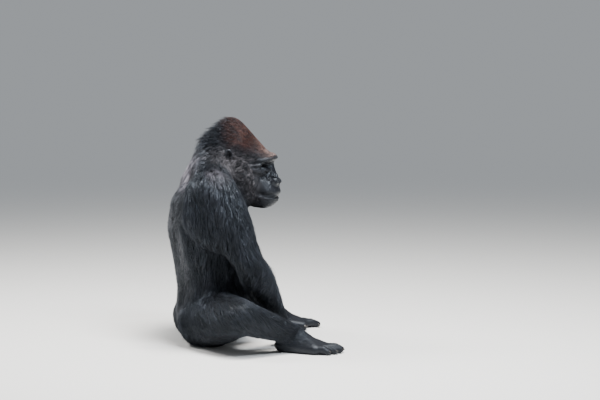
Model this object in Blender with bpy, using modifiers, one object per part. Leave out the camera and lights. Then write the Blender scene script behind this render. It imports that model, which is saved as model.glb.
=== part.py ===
"""A silverback western lowland gorilla, life size, seated and propped on its knuckles.

The body is modelled whole, as overlapping masses of flesh over a posed skeleton.
They are melted into one skin, the seat, soles and knuckles are cut flat on the
floor, and thin cuts at the joints part it into head, neck, trunk, limbs and ears.

Every place is (right, forward, up) in metres, seen from the gorilla, from the
point on the floor below the rearmost part of its back. It faces -Y.
"""

import math

import bmesh
import bpy
from mathutils import Matrix, Vector

# Driving dimensions, in metres and degrees.
UPPER_ARM = 0.390
FOREARM = 0.342
THIGH = 0.368
SHIN = 0.302
HEAD_TURN = 24.0  # the head looks this far to the animal's right
EYE_RADIUS = 0.0125
CUT = 0.0006  # the gap between one part and the next

BODY_VOXEL = 0.009
FINE_VOXEL = 0.0045
EAR_VOXEL = 0.0016
BODY_FACES = 4600
EAR_FACES = 220
FACE_CARE = 0.0003  # how strongly the face keeps its triangles when the skin is thinned
BALL_DETAIL = 3

# Joints and landmarks.
HIP = Vector((0.125, 0.175, 0.130))
HEAD = Vector((0.000, 0.327, 0.872))  # midway between the ear canals
EYE = Vector((0.0380, 0.1185, -0.0410))  # in the head's own frame
EAR = Vector((0.0970, -0.0060, 0.0040))

# Where each side's shoulder, wrist and ankle are, and how far the hand and foot turn out.
POSES = {
    "right": dict(
        shoulder=(0.240, 0.178, 0.728),
        wrist=(0.200, 0.492, 0.132),
        hand_turn=-26,
        ankle=(0.345, 0.535, 0.082),
        foot_turn=18,
    ),
    "left": dict(
        shoulder=(0.235, 0.205, 0.722),
        wrist=(0.188, 0.510, 0.132),
        hand_turn=-20,
        ankle=(0.338, 0.548, 0.082),
        foot_turn=12,
    ),
}
SIDES = {"right": 1, "left": -1}


# ---------------------------------------------------------------- tools


def world(place):
    """Blender's coordinates of a (right, forward, up) place."""
    return Vector((-place[0], -place[1], place[2]))


def mirrored(place, side):
    return Vector((place[0] * side, place[1], place[2]))


def unit_ball():
    shape = bmesh.new()
    bmesh.ops.create_icosphere(shape, subdivisions=BALL_DETAIL, radius=1.0)
    points = [vert.co.copy() for vert in shape.verts]
    shape.free()
    return points


BALL = unit_ball()


def ball(place, *radii):
    """A ball of one radius, or an ellipsoid of three: (right, forward, up)."""
    size = radii if len(radii) == 3 else radii * 3
    return [Vector(place) + Vector(p * r for p, r in zip(point, size)) for point in BALL]


def made_from(shape, name, hidden=False):
    """An object from a bmesh, which it uses up."""
    data = bpy.data.meshes.new(name)
    shape.to_mesh(data)
    shape.free()
    obj = bpy.data.objects.new(name, data)
    bpy.context.scene.collection.objects.link(obj)
    if hidden:
        obj.hide_render = True
        obj.display_type = "WIRE"
    return obj


class Flesh:
    """Overlapping closed shapes in one mesh, placed by a frame of their own."""

    def __init__(self, name, frame=None):
        self.name = name
        self.frame = frame or Matrix.Identity(4)
        self.mesh = bmesh.new()

    def wrap(self, *balls):
        """The tightest closed shape round all of these balls."""
        verts = [self.mesh.verts.new(world(self.frame @ p)) for each in balls for p in each]
        found = bmesh.ops.convex_hull(self.mesh, input=verts, use_existing_faces=False)
        unused = found["geom_interior"] + found["geom_unused"]
        spare = {item for item in unused if isinstance(item, bmesh.types.BMVert)}
        bmesh.ops.delete(self.mesh, geom=list(spare), context="VERTS")

    def chain(self, *balls):
        """Each ball wrapped with the next, as along a limb."""
        for first, second in zip(balls, balls[1:]):
            self.wrap(first, second)

    def both(self, *balls):
        """The same wrapped shape on the right and on the left."""
        self.wrap(*balls)
        self.wrap(*[[mirrored(p, -1) for p in each] for each in balls])

    def made(self):
        bmesh.ops.recalc_face_normals(self.mesh, faces=self.mesh.faces)
        data = bpy.data.meshes.new(self.name)
        self.mesh.to_mesh(data)
        self.mesh.free()
        obj = bpy.data.objects.new(self.name, data)
        bpy.context.scene.collection.objects.link(obj)
        return obj


def applied(obj):
    """Bakes the object's modifiers into its mesh."""
    graph = bpy.context.evaluated_depsgraph_get()
    data = bpy.data.meshes.new_from_object(obj.evaluated_get(graph), depsgraph=graph)
    obj.modifiers.clear()
    obj.data = data
    return obj


def melted(objects, name, voxel, passes):
    """Joins shapes into one skin, with the creases between them softened."""
    shape = bmesh.new()
    for obj in objects:
        shape.from_mesh(obj.data)
        bpy.data.objects.remove(obj)
    data = bpy.data.meshes.new(name)
    shape.to_mesh(data)
    shape.free()
    obj = bpy.data.objects.new(name, data)
    bpy.context.scene.collection.objects.link(obj)
    remesh = obj.modifiers.new("melt", "REMESH")
    remesh.mode = "VOXEL"
    remesh.voxel_size = voxel
    smooth = obj.modifiers.new("soften", "SMOOTH")
    smooth.factor = 0.5
    smooth.iterations = passes
    return applied(obj)


def bent(start, end, first, second, towards):
    """The joint of two bones of these lengths that reach from start to end."""
    span = end - start
    reach = span.length
    along = (first**2 + reach**2 - second**2) / (2 * reach)
    off = math.sqrt(max(0.0, first**2 - along**2))
    axis = span.normalized()
    pole = (towards - axis * towards.dot(axis)).normalized()
    return start + axis * along + pole * off


def plate(centre, normal, width, height, up=(0, 0, 1), sides=4):
    """A thin plate that parts the body across a joint: a rectangle, or an oval of many sides."""
    facing = world(normal).normalized()
    across = world(up).cross(facing).normalized()
    rise = facing.cross(across)
    turn = Matrix((across, rise, facing)).transposed().to_4x4()
    reach = math.sqrt(0.5) if sides == 4 else 0.5  # from the middle to a corner
    spin = Matrix.Rotation(math.pi / sides, 4, "Z")
    size = Matrix.Diagonal((width, height, CUT, 1))
    place = Matrix.Translation(world(centre)) @ turn @ size @ spin
    shape = bmesh.new()
    bmesh.ops.create_cone(
        shape, cap_ends=True, segments=sides, radius1=reach, radius2=reach, depth=1.0, matrix=place
    )
    return made_from(shape, "joint_cut", hidden=True)


# ---------------------------------------------------------------- skeleton


def skeleton():
    """Each side's joints, from the shoulder and hip out to the wrist and ankle."""
    joints = {}
    for side, sign in SIDES.items():
        pose = POSES[side]
        shoulder = mirrored(pose["shoulder"], sign)
        wrist = mirrored(pose["wrist"], sign)
        hip = mirrored(HIP, sign)
        ankle = mirrored(pose["ankle"], sign)
        joints[side] = dict(
            shoulder=shoulder,
            elbow=bent(shoulder, wrist, UPPER_ARM, FOREARM, Vector((sign, -0.08, 0.00))),
            wrist=wrist,
            hip=hip,
            knee=bent(hip, ankle, THIGH, SHIN, Vector((sign, -0.70, 0.45))),
            ankle=ankle,
        )
    return joints


# ---------------------------------------------------------------- trunk and limbs


def section(height, back, front, half_width, depth):
    """The balls of one level of the trunk: a middle one and one to each side."""
    middle = (back + front) / 2
    reach = (front - back) / 2
    side = reach * 0.78
    return (
        ball((0, middle, height), reach, reach, depth),
        ball((half_width - side, middle, height), side, side, depth),
        ball((side - half_width, middle, height), side, side, depth),
    )


def trunk():
    """The barrel of the body, from the seat up a rounded back to the neck."""
    flesh = Flesh("trunk")
    levels = (
        section(0.070, 0.050, 0.320, 0.210, 0.090),
        section(0.150, 0.035, 0.365, 0.240, 0.130),
        section(0.270, 0.042, 0.430, 0.265, 0.150),
        section(0.400, 0.022, 0.415, 0.258, 0.140),
        section(0.540, -0.006, 0.378, 0.262, 0.125),
        section(0.650, 0.010, 0.345, 0.240, 0.105),
        section(0.735, 0.066, 0.320, 0.175, 0.090),
    )
    for lower, upper in zip(levels, levels[1:]):
        flesh.wrap(*lower, *upper)
    # The belly, broad and low.
    flesh.wrap(ball((0, 0.280, 0.270), 0.215, 0.168, 0.185))
    # The neck: thick, and sloped straight from the crest into the shoulders.
    flesh.chain(
        ball((0, 0.190, 0.715), 0.175, 0.135, 0.090),
        ball((0, 0.212, 0.795), 0.150, 0.122, 0.080),
        ball((-0.014, 0.252, 0.858), 0.110, 0.114, 0.090),
        ball((-0.014, 0.285, 0.880), 0.092, 0.110, 0.095),
    )
    for sign in SIDES.values():
        # Trapezius, from the nape out to the point of the shoulder.
        flesh.chain(
            ball(mirrored((0.060, 0.205, 0.820), sign), 0.090, 0.095, 0.070),
            ball(mirrored((0.190, 0.185, 0.760), sign), 0.085, 0.095, 0.065),
        )
        # Shoulder blade and the broad muscle of the back below it.
        flesh.chain(
            ball(mirrored((0.130, 0.150, 0.685), sign), 0.100, 0.088, 0.085),
            ball(mirrored((0.160, 0.126, 0.590), sign), 0.110, 0.100, 0.100),
            ball(mirrored((0.165, 0.150, 0.460), sign), 0.100, 0.105, 0.110),
        )
        # Breast.
        flesh.chain(
            ball(mirrored((0.085, 0.285, 0.600), sign), 0.095, 0.090, 0.085),
            ball(mirrored((0.175, 0.240, 0.690), sign), 0.085, 0.085, 0.080),
        )
        # Buttock.
        flesh.wrap(ball(mirrored((0.100, 0.125, 0.115), sign), 0.105, 0.098, 0.110))
    return flesh.made()


def arm(side, joints):
    """Upper arm and forearm, with the long coat that hangs behind them."""
    sign = SIDES[side]
    flesh = Flesh("arm_" + side)
    shoulder, elbow, wrist = (joints[side][k] for k in ("shoulder", "elbow", "wrist"))
    # Deltoid, then the upper arm down to the elbow.
    flesh.chain(
        ball(shoulder + Vector((0.008 * sign, 0.005, -0.010)), 0.115, 0.125, 0.115),
        ball(shoulder.lerp(elbow, 0.28), 0.106, 0.122, 0.110),
        ball(shoulder.lerp(elbow, 0.52), 0.098, 0.108, 0.100),
        ball(shoulder.lerp(elbow, 0.78), 0.078, 0.084, 0.082),
        ball(elbow, 0.074),
    )
    # Triceps and the curtain of coat behind the arm.
    flesh.chain(
        ball(shoulder + Vector((-0.020 * sign, -0.050, -0.010)), 0.085, 0.082, 0.085),
        ball(shoulder + Vector((0.010 * sign, -0.056, -0.110)), 0.085, 0.090, 0.100),
        ball(shoulder.lerp(elbow, 0.42) + Vector((-0.010 * sign, -0.085, -0.050)), 0.068, 0.078, 0.070),
    )
    flesh.wrap(
        ball(shoulder.lerp(elbow, 0.42) + Vector((-0.010 * sign, -0.085, -0.050)), 0.068, 0.078, 0.070),
        ball(shoulder.lerp(elbow, 0.70), 0.068, 0.085, 0.080),
        ball(shoulder.lerp(elbow, 0.30), 0.090, 0.100, 0.100),
    )
    # Forearm, thickest just below the elbow.
    flesh.chain(
        ball(elbow, 0.074),
        ball(elbow.lerp(wrist, 0.22), 0.084),
        ball(elbow.lerp(wrist, 0.58), 0.068),
        ball(elbow.lerp(wrist, 0.90), 0.049),
        ball(wrist, 0.046),
    )
    return flesh.made()


def leg(side, joints):
    """Thigh and shin, folded out to the side on the floor."""
    flesh = Flesh("leg_" + side)
    hip, knee, ankle = (joints[side][k] for k in ("hip", "knee", "ankle"))
    flesh.chain(
        ball(hip, 0.128),
        ball(hip.lerp(knee, 0.40), 0.125),
        ball(hip.lerp(knee, 0.78), 0.100),
        ball(knee, 0.084),
    )
    flesh.chain(
        ball(knee, 0.080),
        ball(knee.lerp(ankle, 0.30), 0.076),
        ball(knee.lerp(ankle, 0.65), 0.064),
        ball(ankle, 0.050),
    )
    return flesh.made()


# ---------------------------------------------------------------- hands and feet


def frame_at(place, turn):
    """A frame standing on the floor under a place, turned about the upright axis.

    A positive turn swings its forward axis towards the animal's right."""
    return Matrix.Translation((place[0], place[1], 0)) @ Matrix.Rotation(math.radians(-turn), 4, "Z")


# One finger bone by bone: (forward, up, radius) of its knuckles, the fist on the floor.
FINGER = ((0.048, 0.072, 0.0185), (0.098, 0.022, 0.0175), (0.062, 0.0145, 0.0160), (0.040, 0.034, 0.0145))
# Across the palm from the thumb's side: (offset, length) of the four fingers.
FINGERS = ((-0.044, 0.94), (-0.0145, 1.04), (0.0150, 1.0), (0.0435, 0.88))


def hand(side, joints):
    """A fist that bears on the backs of its middle finger bones."""
    sign = SIDES[side]
    wrist = joints[side]["wrist"]
    pose = POSES[side]
    flesh = Flesh("hand_" + side, frame_at(wrist, pose["hand_turn"] * sign))
    palm = (ball((0, 0, wrist.z), 0.046, 0.036, 0.040),)
    knuckles = [ball((across * sign, FINGER[0][0] * size, 0.074), 0.019) for across, size in FINGERS]
    flesh.wrap(*palm, *knuckles)
    for across, size in FINGERS:
        joint = [(forward * size, up, radius) for forward, up, radius in FINGER]
        spread = [across, across * 1.06, across * 1.02, across * 0.90]
        flesh.chain(
            *[ball((x * sign, forward, up), radius) for x, (forward, up, radius) in zip(spread, joint)]
        )
    # The thumb hangs short beside the palm.
    flesh.chain(
        ball((-0.034 * sign, 0.002, 0.105), 0.021),
        ball((-0.058 * sign, 0.016, 0.070), 0.0175),
        ball((-0.060 * sign, 0.034, 0.038), 0.0150),
    )
    return flesh.made()


# The four smaller toes from the inside out: (across, forward, length) of their roots.
TOES = ((-0.020, 0.160, 0.060), (0.011, 0.160, 0.058), (0.040, 0.146, 0.054), (0.064, 0.126, 0.046))


def foot(side, joints):
    """A broad flat foot, its great toe set apart like a thumb."""
    sign = SIDES[side]
    ankle = joints[side]["ankle"]
    flesh = Flesh("foot_" + side, frame_at(ankle, POSES[side]["foot_turn"] * sign))
    heel = ball((0, -0.045, 0.036), 0.040, 0.042, 0.040)
    instep = ball((0.004 * sign, 0.060, 0.042), 0.046, 0.055, 0.036)
    flesh.wrap(ball((0, 0, ankle.z), 0.047), heel, instep)
    flesh.wrap(heel, instep, *[ball((x * sign, y - 0.014, 0.022), 0.024) for x, y, _ in TOES])
    for x, y, length in TOES:
        flesh.chain(
            ball((x * sign, y - 0.015, 0.023), 0.0205),
            ball((x * 1.08 * sign, y + length * 0.55, 0.026), 0.0180),
            ball((x * 1.12 * sign, y + length, 0.0155), 0.0160),
        )
    flesh.chain(
        ball((-0.022 * sign, 0.025, 0.030), 0.031),
        ball((-0.056 * sign, 0.078, 0.025), 0.0260),
        ball((-0.082 * sign, 0.124, 0.020), 0.0215),
    )
    return flesh.made()


# ---------------------------------------------------------------- head

HEAD_FRAME = Matrix.Translation(HEAD) @ Matrix.Rotation(math.radians(-HEAD_TURN), 4, "Z")


def skull():
    """Cranium and crest, chewing muscles, lower jaw and throat."""
    flesh = Flesh("skull", HEAD_FRAME)
    cranium = ball((0, -0.020, 0.025), 0.102, 0.105, 0.085)
    crest = ball((0, -0.022, 0.136), 0.040, 0.060, 0.050)
    nape = ball((0, -0.105, 0.015), 0.106, 0.090, 0.080)
    temples = [ball((0.060 * s, 0.015, 0.040), 0.044, 0.068, 0.056) for s in (1, -1)]
    brows = [ball((0.046 * s, 0.126, -0.004), 0.024, 0.030, 0.022) for s in (1, -1)]
    flesh.wrap(cranium, crest)
    flesh.wrap(*temples, crest)
    flesh.wrap(crest, *brows)
    flesh.wrap(*temples, *brows)
    # The nape, from the crest down over the back of the neck.
    flesh.wrap(crest, nape)
    flesh.wrap(nape, ball((0.050, -0.130, -0.070), 0.122, 0.095, 0.085))
    # The side of the head between brow, ear and cheekbone.
    flesh.both(
        ball((0.064, 0.075, -0.030), 0.026, 0.045, 0.036),
        ball((0.076, 0.010, -0.020), 0.030, 0.050, 0.050),
    )
    # Lower jaw, and the muscles that widen the cheeks.
    angle = (0.064, 0.030, -0.160)
    chin = ball((0, 0.098, -0.204), 0.056, 0.052, 0.040)
    flesh.wrap(chin, ball(angle, 0.042), ball(mirrored(angle, -1), 0.042))
    flesh.both(
        ball(angle, 0.042),
        ball((0.072, 0.050, -0.095), 0.040, 0.050, 0.046),
        ball((0.078, 0.005, -0.050), 0.032, 0.044, 0.040),
    )
    # The cheek between cheekbone, jaw and lips.
    flesh.both(
        ball((0.056, 0.092, -0.075), 0.024, 0.030, 0.026),
        ball((0.070, 0.045, -0.110), 0.034, 0.046, 0.046),
        ball((0.044, 0.104, -0.150), 0.026, 0.040, 0.040),
    )
    # The deep face behind the nose and lips.
    flesh.wrap(
        ball((0, 0.082, -0.040), 0.072, 0.048, 0.042),
        ball((0, 0.088, -0.120), 0.070, 0.054, 0.050),
        ball((0, 0.108, -0.170), 0.062, 0.066, 0.040),
    )
    # Throat, sloping back from the jaw to the breast.
    flesh.wrap(
        ball((0, 0.030, -0.165), 0.076, 0.055, 0.050),
        ball((0.030, -0.080, -0.110), 0.116, 0.085, 0.095),
        ball((0.025, -0.060, -0.215), 0.108, 0.075, 0.060),
    )
    return flesh.made()


def face():
    """Brow ridge, cheekbones, nose and lips."""
    flesh = Flesh("face", HEAD_FRAME)
    # The brow ridge, one bar across both eyes.
    middle = ball((0, 0.163, -0.004), 0.024, 0.0225, 0.0200)
    outer = ball((0.037, 0.158, -0.004), 0.024, 0.0225, 0.0195)
    flesh.both(middle, outer)
    flesh.both(outer, ball((0.066, 0.124, -0.012), 0.018, 0.0230, 0.0185))
    # Cheekbones, from below the eye back towards the ear.
    cheekbone = ball((0.062, 0.110, -0.064), 0.022, 0.024, 0.020)
    flesh.both(cheekbone, ball((0.084, 0.035, -0.040), 0.024, 0.034, 0.030))
    flesh.both(cheekbone, ball((0.068, 0.117, -0.028), 0.016, 0.020, 0.020))
    flesh.both(cheekbone, ball((0.030, 0.144, -0.078), 0.016, 0.018, 0.016))
    # Bridge of the nose, widening to the pad.
    flesh.chain(
        ball((0, 0.156, -0.026), 0.017, 0.020, 0.020),
        ball((0, 0.160, -0.066), 0.019, 0.022, 0.022),
        ball((0, 0.171, -0.100), 0.024, 0.024, 0.022),
    )
    # Nose pad and the raised wings round the nostrils.
    flesh.wrap(
        ball((0, 0.175, -0.104), 0.024, 0.022, 0.018),
        ball((0, 0.183, -0.130), 0.040, 0.022, 0.014),
    )
    flesh.both(ball((0.0235, 0.183, -0.120), 0.0210, 0.0200, 0.0200))
    # Muzzle and upper lip.
    flesh.wrap(
        ball((0, 0.118, -0.125), 0.066, 0.066, 0.042),
        ball((0, 0.140, -0.158), 0.066, 0.066, 0.030),
        ball((0, 0.173, -0.163), 0.048, 0.038, 0.024),
    )
    # Lower lip and chin.
    flesh.wrap(
        ball((0, 0.155, -0.203), 0.052, 0.047, 0.016),
        ball((0, 0.114, -0.200), 0.062, 0.062, 0.032),
        ball((0, 0.128, -0.226), 0.042, 0.044, 0.018),
    )
    return flesh.made()


def ear(side):
    """A small rounded ear: a curled rim round a hollow, with a short lobe."""
    sign = SIDES[side]
    flesh = Flesh("ear_" + side, HEAD_FRAME)
    root = mirrored(EAR, sign)
    rim = []
    for step in range(11):
        turn = math.radians(-110 + step * 28)
        out = 0.012 + 0.011 * math.sin(math.radians(step * 18))
        place = Vector((out * sign, -0.0165 * math.cos(turn), 0.0290 * math.sin(turn)))
        rim.append(ball(root + place, 0.0052))
    flesh.chain(*rim)
    # The back of the shell, and the small fold in front of the ear hole.
    flesh.wrap(
        ball(root + Vector((0.005 * sign, -0.003, 0.008)), 0.007, 0.015, 0.020),
        ball(root + Vector((0.005 * sign, -0.001, -0.014)), 0.007, 0.012, 0.012),
    )
    flesh.wrap(
        ball(root + Vector((0.010 * sign, 0.010, 0.000)), 0.0060),
        ball(root + Vector((0.011 * sign, 0.009, -0.016)), 0.0055),
    )
    return melted([flesh.made()], "ear_" + side, EAR_VOXEL, 2)


# ---------------------------------------------------------------- parting the body


def joint_cuts(joints):
    """Thin plates across every joint."""
    plates = [
        plate((0, 0.262, 0.820), (0, 0.86, 0.50), 0.34, 0.56),
        plate((0, 0.165, 0.798), (0, 0.30, 0.95), 0.38, 0.31, up=(0, 1, 0)),
        plate((0, 0.200, 0.390), (0, 0.05, 1.0), 0.55, 0.54, up=(0, 1, 0), sides=32),
    ]
    for side, sign in SIDES.items():
        joint = joints[side]
        shoulder, elbow, wrist = joint["shoulder"], joint["elbow"], joint["wrist"]
        hip, knee, ankle = joint["hip"], joint["knee"], joint["ankle"]
        fold = ((hip - knee).normalized() + (ankle - knee).normalized()).normalized()
        knee_middle = knee + fold * 0.05 + Vector((0.015 * sign, -0.009, -0.006))
        plates += [
            plate(mirrored((0.226, 0.165, 0.645), sign), (0.941 * sign, 0.206, 0.268), 0.44, 0.45),
            plate(elbow, wrist - shoulder, 0.185, 0.185),
            plate(wrist + Vector((0, 0, -0.008)), (wrist - elbow) + Vector((0, 0, -0.15)), 0.15, 0.15),
            plate(mirrored((0.216, 0.200, 0.130), sign), (0.838 * sign, 0.364, -0.404), 0.48, 0.38),
            plate(knee_middle, ankle - hip, 0.275, 0.245, sides=32),
            plate(ankle + Vector((0, -0.025, 0.012)), (0, 0.707, -0.707), 0.20, 0.28),
        ]
    return plates


def grown(obj, gap):
    """A copy of a body with its skin moved outward by a gap."""
    shape = bmesh.new()
    shape.from_mesh(obj.data)
    shape.normal_update()
    for vert in shape.verts:
        vert.co += vert.normal * gap
    return made_from(shape, "grown", hidden=True)


def thinned(obj, faces, group=""):
    """The same shape in about this many triangles, fewest where the group is full."""
    thin = obj.modifiers.new("thin", "DECIMATE")
    thin.ratio = faces / (2 * len(obj.data.polygons))
    thin.vertex_group = group
    thin.vertex_group_factor = FACE_CARE
    return applied(obj)


def eyeball(name, place, radius):
    shape = bmesh.new()
    bmesh.ops.create_icosphere(shape, subdivisions=3, radius=radius)
    bmesh.ops.translate(shape, verts=shape.verts, vec=world(place))
    return made_from(shape, name)


def cut(obj, tool):
    knife = obj.modifiers.new("cut", "BOOLEAN")
    knife.operation = "DIFFERENCE"
    knife.object = tool
    return applied(obj)


def islands(shape):
    """The separate closed bodies of a mesh, as sets of face indices."""
    seen, found = set(), []
    for face in shape.faces:
        if face.index in seen:
            continue
        seen.add(face.index)
        stack, group = [face], set()
        while stack:
            one = stack.pop()
            group.add(one.index)
            for edge in one.edges:
                for other in edge.link_faces:
                    if other.index not in seen:
                        seen.add(other.index)
                        stack.append(other)
        found.append(group)
    return found


def split(obj):
    """One object for every separate body of this one."""
    whole = bmesh.new()
    whole.from_mesh(obj.data)
    groups = islands(whole)
    if len(groups) == 1:
        whole.free()
        return [obj]
    pieces = []
    for group in groups:
        shape = whole.copy()
        spare = [face for face in shape.faces if face.index not in group]
        bmesh.ops.delete(shape, geom=spare, context="FACES")
        if shape.calc_volume() < 1e-5:
            shape.free()
            continue
        pieces.append(made_from(shape, obj.name))
    whole.free()
    bpy.data.objects.remove(obj)
    return pieces


def extent(obj):
    corners = [Vector(corner) for corner in obj.bound_box]
    low = Vector([min(c[axis] for c in corners) for axis in range(3)])
    high = Vector([max(c[axis] for c in corners) for axis in range(3)])
    return low, high


def meet(one, other):
    (low_a, high_a), (low_b, high_b) = extent(one), extent(other)
    return all(low_a[axis] < high_b[axis] and low_b[axis] < high_a[axis] for axis in range(3))


def seeds(joints):
    """A place near the middle of every part, to know its piece by."""
    places = {
        "head": HEAD + Vector((0.020, 0.060, 0.000)),
        "neck": Vector((0, 0.230, 0.860)),
        "chest": Vector((0, 0.190, 0.600)),
        "abdomen": Vector((0, 0.210, 0.190)),
    }
    for side, sign in SIDES.items():
        joint = joints[side]
        knee, ankle = joint["knee"], joint["ankle"]
        places["upper_arm_" + side] = joint["shoulder"].lerp(joint["elbow"], 0.35)
        places["forearm_" + side] = joint["elbow"].lerp(joint["wrist"], 0.45)
        places["hand_" + side] = joint["wrist"] + Vector((0, 0.040, -0.080))
        places["thigh_" + side] = joint["hip"].lerp(knee, 0.60)
        places["shank_" + side] = knee.lerp(ankle, 0.45)
        places["foot_" + side] = ankle + Vector((0, 0.080, -0.050))
    return places


def parted(body, joints):
    """Cuts the body at its joints, and names each piece by its place."""
    pieces = [body]
    for tool in joint_cuts(joints):
        bpy.context.view_layer.update()
        met = [piece for piece in pieces if meet(piece, tool)]
        pieces = [piece for piece in pieces if piece not in met]
        for piece in met:
            pieces += split(cut(piece, tool))
        bpy.data.objects.remove(tool)
    places = seeds(joints)
    for piece in pieces:
        middle = sum((vert.co for vert in piece.data.vertices), Vector()) / len(piece.data.vertices)
        piece.name = min(places, key=lambda one: (world(places[one]) - middle).length)
    return pieces


def coloured(obj, material):
    obj.data.materials.clear()
    obj.data.materials.append(material)


def plain_material(name, colour, roughness):
    material = bpy.data.materials.new(name)
    material.use_nodes = True
    shader = material.node_tree.nodes["Principled BSDF"]
    shader.inputs["Base Color"].default_value = (*colour, 1)
    shader.inputs["Roughness"].default_value = roughness
    return material


def finish(pieces):
    """Puts the body in its collection, with the middle of its base at the origin."""
    collection = bpy.data.collections.new("gorilla")
    bpy.context.scene.collection.children.link(collection)
    points = [vert.co for piece in pieces for vert in piece.data.vertices]
    low = Vector([min(point[axis] for point in points) for axis in range(3)])
    high = Vector([max(point[axis] for point in points) for axis in range(3)])
    base = Vector(((low.x + high.x) / 2, (low.y + high.y) / 2, low.z))
    coat = plain_material("coat", (0.030, 0.028, 0.030), 0.60)
    skin = plain_material("skin", (0.022, 0.020, 0.021), 0.42)
    eye = plain_material("eye", (0.060, 0.028, 0.012), 0.12)
    for piece in pieces:
        piece.data.transform(Matrix.Translation(-base))
        piece.data.name = piece.name
        bare = piece.name.startswith(("hand", "foot", "ear"))
        coloured(piece, eye if piece.name.startswith("eye") else skin if bare else coat)
        bpy.context.scene.collection.objects.unlink(piece)
        collection.objects.link(piece)


def main():
    for obj in list(bpy.data.objects):
        bpy.data.objects.remove(obj)
    joints = skeleton()
    bulk = [trunk(), skull()]
    fine = [face()]
    for side in SIDES:
        bulk += [arm(side, joints), leg(side, joints)]
        fine += [hand(side, joints), foot(side, joints)]
    body = melted(bulk, "body", BODY_VOXEL, 12)
    body = melted([body, *fine], "body", FINE_VOXEL, 5)
    muzzle = world(HEAD_FRAME @ Vector((0, 0.110, -0.090)))
    far = body.vertex_groups.new(name="far from the face")
    for vert in body.data.vertices:
        far.add([vert.index], min(max(((vert.co - muzzle).length - 0.110) / 0.050, 0.01), 1.0), "REPLACE")
    thinned(body, BODY_FACES, far.name)
    # Everything below the floor goes, which leaves flats to rest on.
    floor = bmesh.new()
    below = Matrix.Translation((0, -0.4, -0.5)) @ Matrix.Diagonal((3, 3, 1, 1))
    bmesh.ops.create_cube(floor, size=1.0, matrix=below)
    floor = made_from(floor, "floor", hidden=True)
    cut(body, floor)
    bpy.data.objects.remove(floor)
    # Eyes in their sockets, and ears that meet the head.
    others = []
    shell = grown(body, CUT / 2)
    for side, sign in SIDES.items():
        place = HEAD_FRAME @ mirrored(EYE, sign)
        socket = eyeball("socket", place, EYE_RADIUS + CUT / 2)
        cut(body, socket)
        bpy.data.objects.remove(socket)
        others.append(eyeball("eye_" + side, place, EYE_RADIUS))
        lobe = thinned(ear(side), EAR_FACES)
        others += split(cut(lobe, shell))
    bpy.data.objects.remove(shell)
    finish(parted(body, joints) + others)


if __name__ == "__main__":
    main()
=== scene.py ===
import bmesh
import bpy
import math
import numpy as np
from mathutils import Matrix, Vector
from mathutils.bvhtree import BVHTree
from mathutils.kdtree import KDTree


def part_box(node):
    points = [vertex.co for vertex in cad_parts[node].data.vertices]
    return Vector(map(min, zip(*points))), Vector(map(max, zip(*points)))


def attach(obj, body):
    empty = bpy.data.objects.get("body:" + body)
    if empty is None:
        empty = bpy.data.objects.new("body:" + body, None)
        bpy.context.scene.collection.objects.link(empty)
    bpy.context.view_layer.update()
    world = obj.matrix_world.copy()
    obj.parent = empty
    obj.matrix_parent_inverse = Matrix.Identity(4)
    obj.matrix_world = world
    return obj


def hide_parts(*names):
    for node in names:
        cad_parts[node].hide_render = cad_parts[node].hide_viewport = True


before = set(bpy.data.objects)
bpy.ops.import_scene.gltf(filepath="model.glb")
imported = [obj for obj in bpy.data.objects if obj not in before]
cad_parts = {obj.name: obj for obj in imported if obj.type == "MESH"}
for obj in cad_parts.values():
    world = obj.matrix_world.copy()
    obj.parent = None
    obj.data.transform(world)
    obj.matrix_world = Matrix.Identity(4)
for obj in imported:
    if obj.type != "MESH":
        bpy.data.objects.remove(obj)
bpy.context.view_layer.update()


# ---- The skin ----------------------------------------------------------------
# One black hide over the whole animal, from crest to toes, with no seam at the
# joints. It lies under the tips of the coat by the coat's own depth, and comes
# to the surface on the bare face, ears, palms and soles.

SKIN_GRAIN = 0.0040  # the size of the skin's first faces
JOINT_SWELL = 0.0008  # closes the thin cuts at the joints
flesh_names = sorted(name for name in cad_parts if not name.startswith("eye_"))


def welded(node):
    """A solid of the frame as one closed shape, its corners joined."""
    shape = bmesh.new()
    shape.from_mesh(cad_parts[node].data)
    bmesh.ops.remove_doubles(shape, verts=shape.verts, dist=1e-6)
    bmesh.ops.recalc_face_normals(shape, faces=shape.faces)
    shape.normal_update()
    return shape


def take_in(whole, shape):
    """Adds one shape to another, and clears it away."""
    part = bpy.data.meshes.new("part")
    shape.to_mesh(part)
    shape.free()
    whole.from_mesh(part)
    bpy.data.meshes.remove(part)


def placed(name, mesh):
    """A new piece in the scene with the mesh."""
    piece = bpy.data.objects.new(name, mesh)
    bpy.context.scene.collection.objects.link(piece)
    return piece


def settled(piece):
    """The piece's mesh as its modifiers leave it, with the modifiers gone."""
    view = bpy.context.evaluated_depsgraph_get()
    mesh = bpy.data.meshes.new_from_object(piece.evaluated_get(view))
    piece.modifiers.clear()
    piece.data = mesh
    return mesh


def rows_of(items, key, width, kind=np.float32):
    """The same few numbers of every item of a mesh, a row for each."""
    flat = np.empty(len(items) * width, kind)
    items.foreach_get(key, flat)
    return flat.reshape(-1, width)


def points_of(mesh):
    return rows_of(mesh.vertices, "co", 3).astype(float)


def put_points(mesh, points):
    mesh.vertices.foreach_set("co", points.astype(np.float32).ravel())
    mesh.update()


def edges_of(mesh):
    return rows_of(mesh.edges, "vertices", 2, np.int32)


def normals_of(mesh):
    return rows_of(mesh.vertex_normals, "vector", 3).astype(float)


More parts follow.
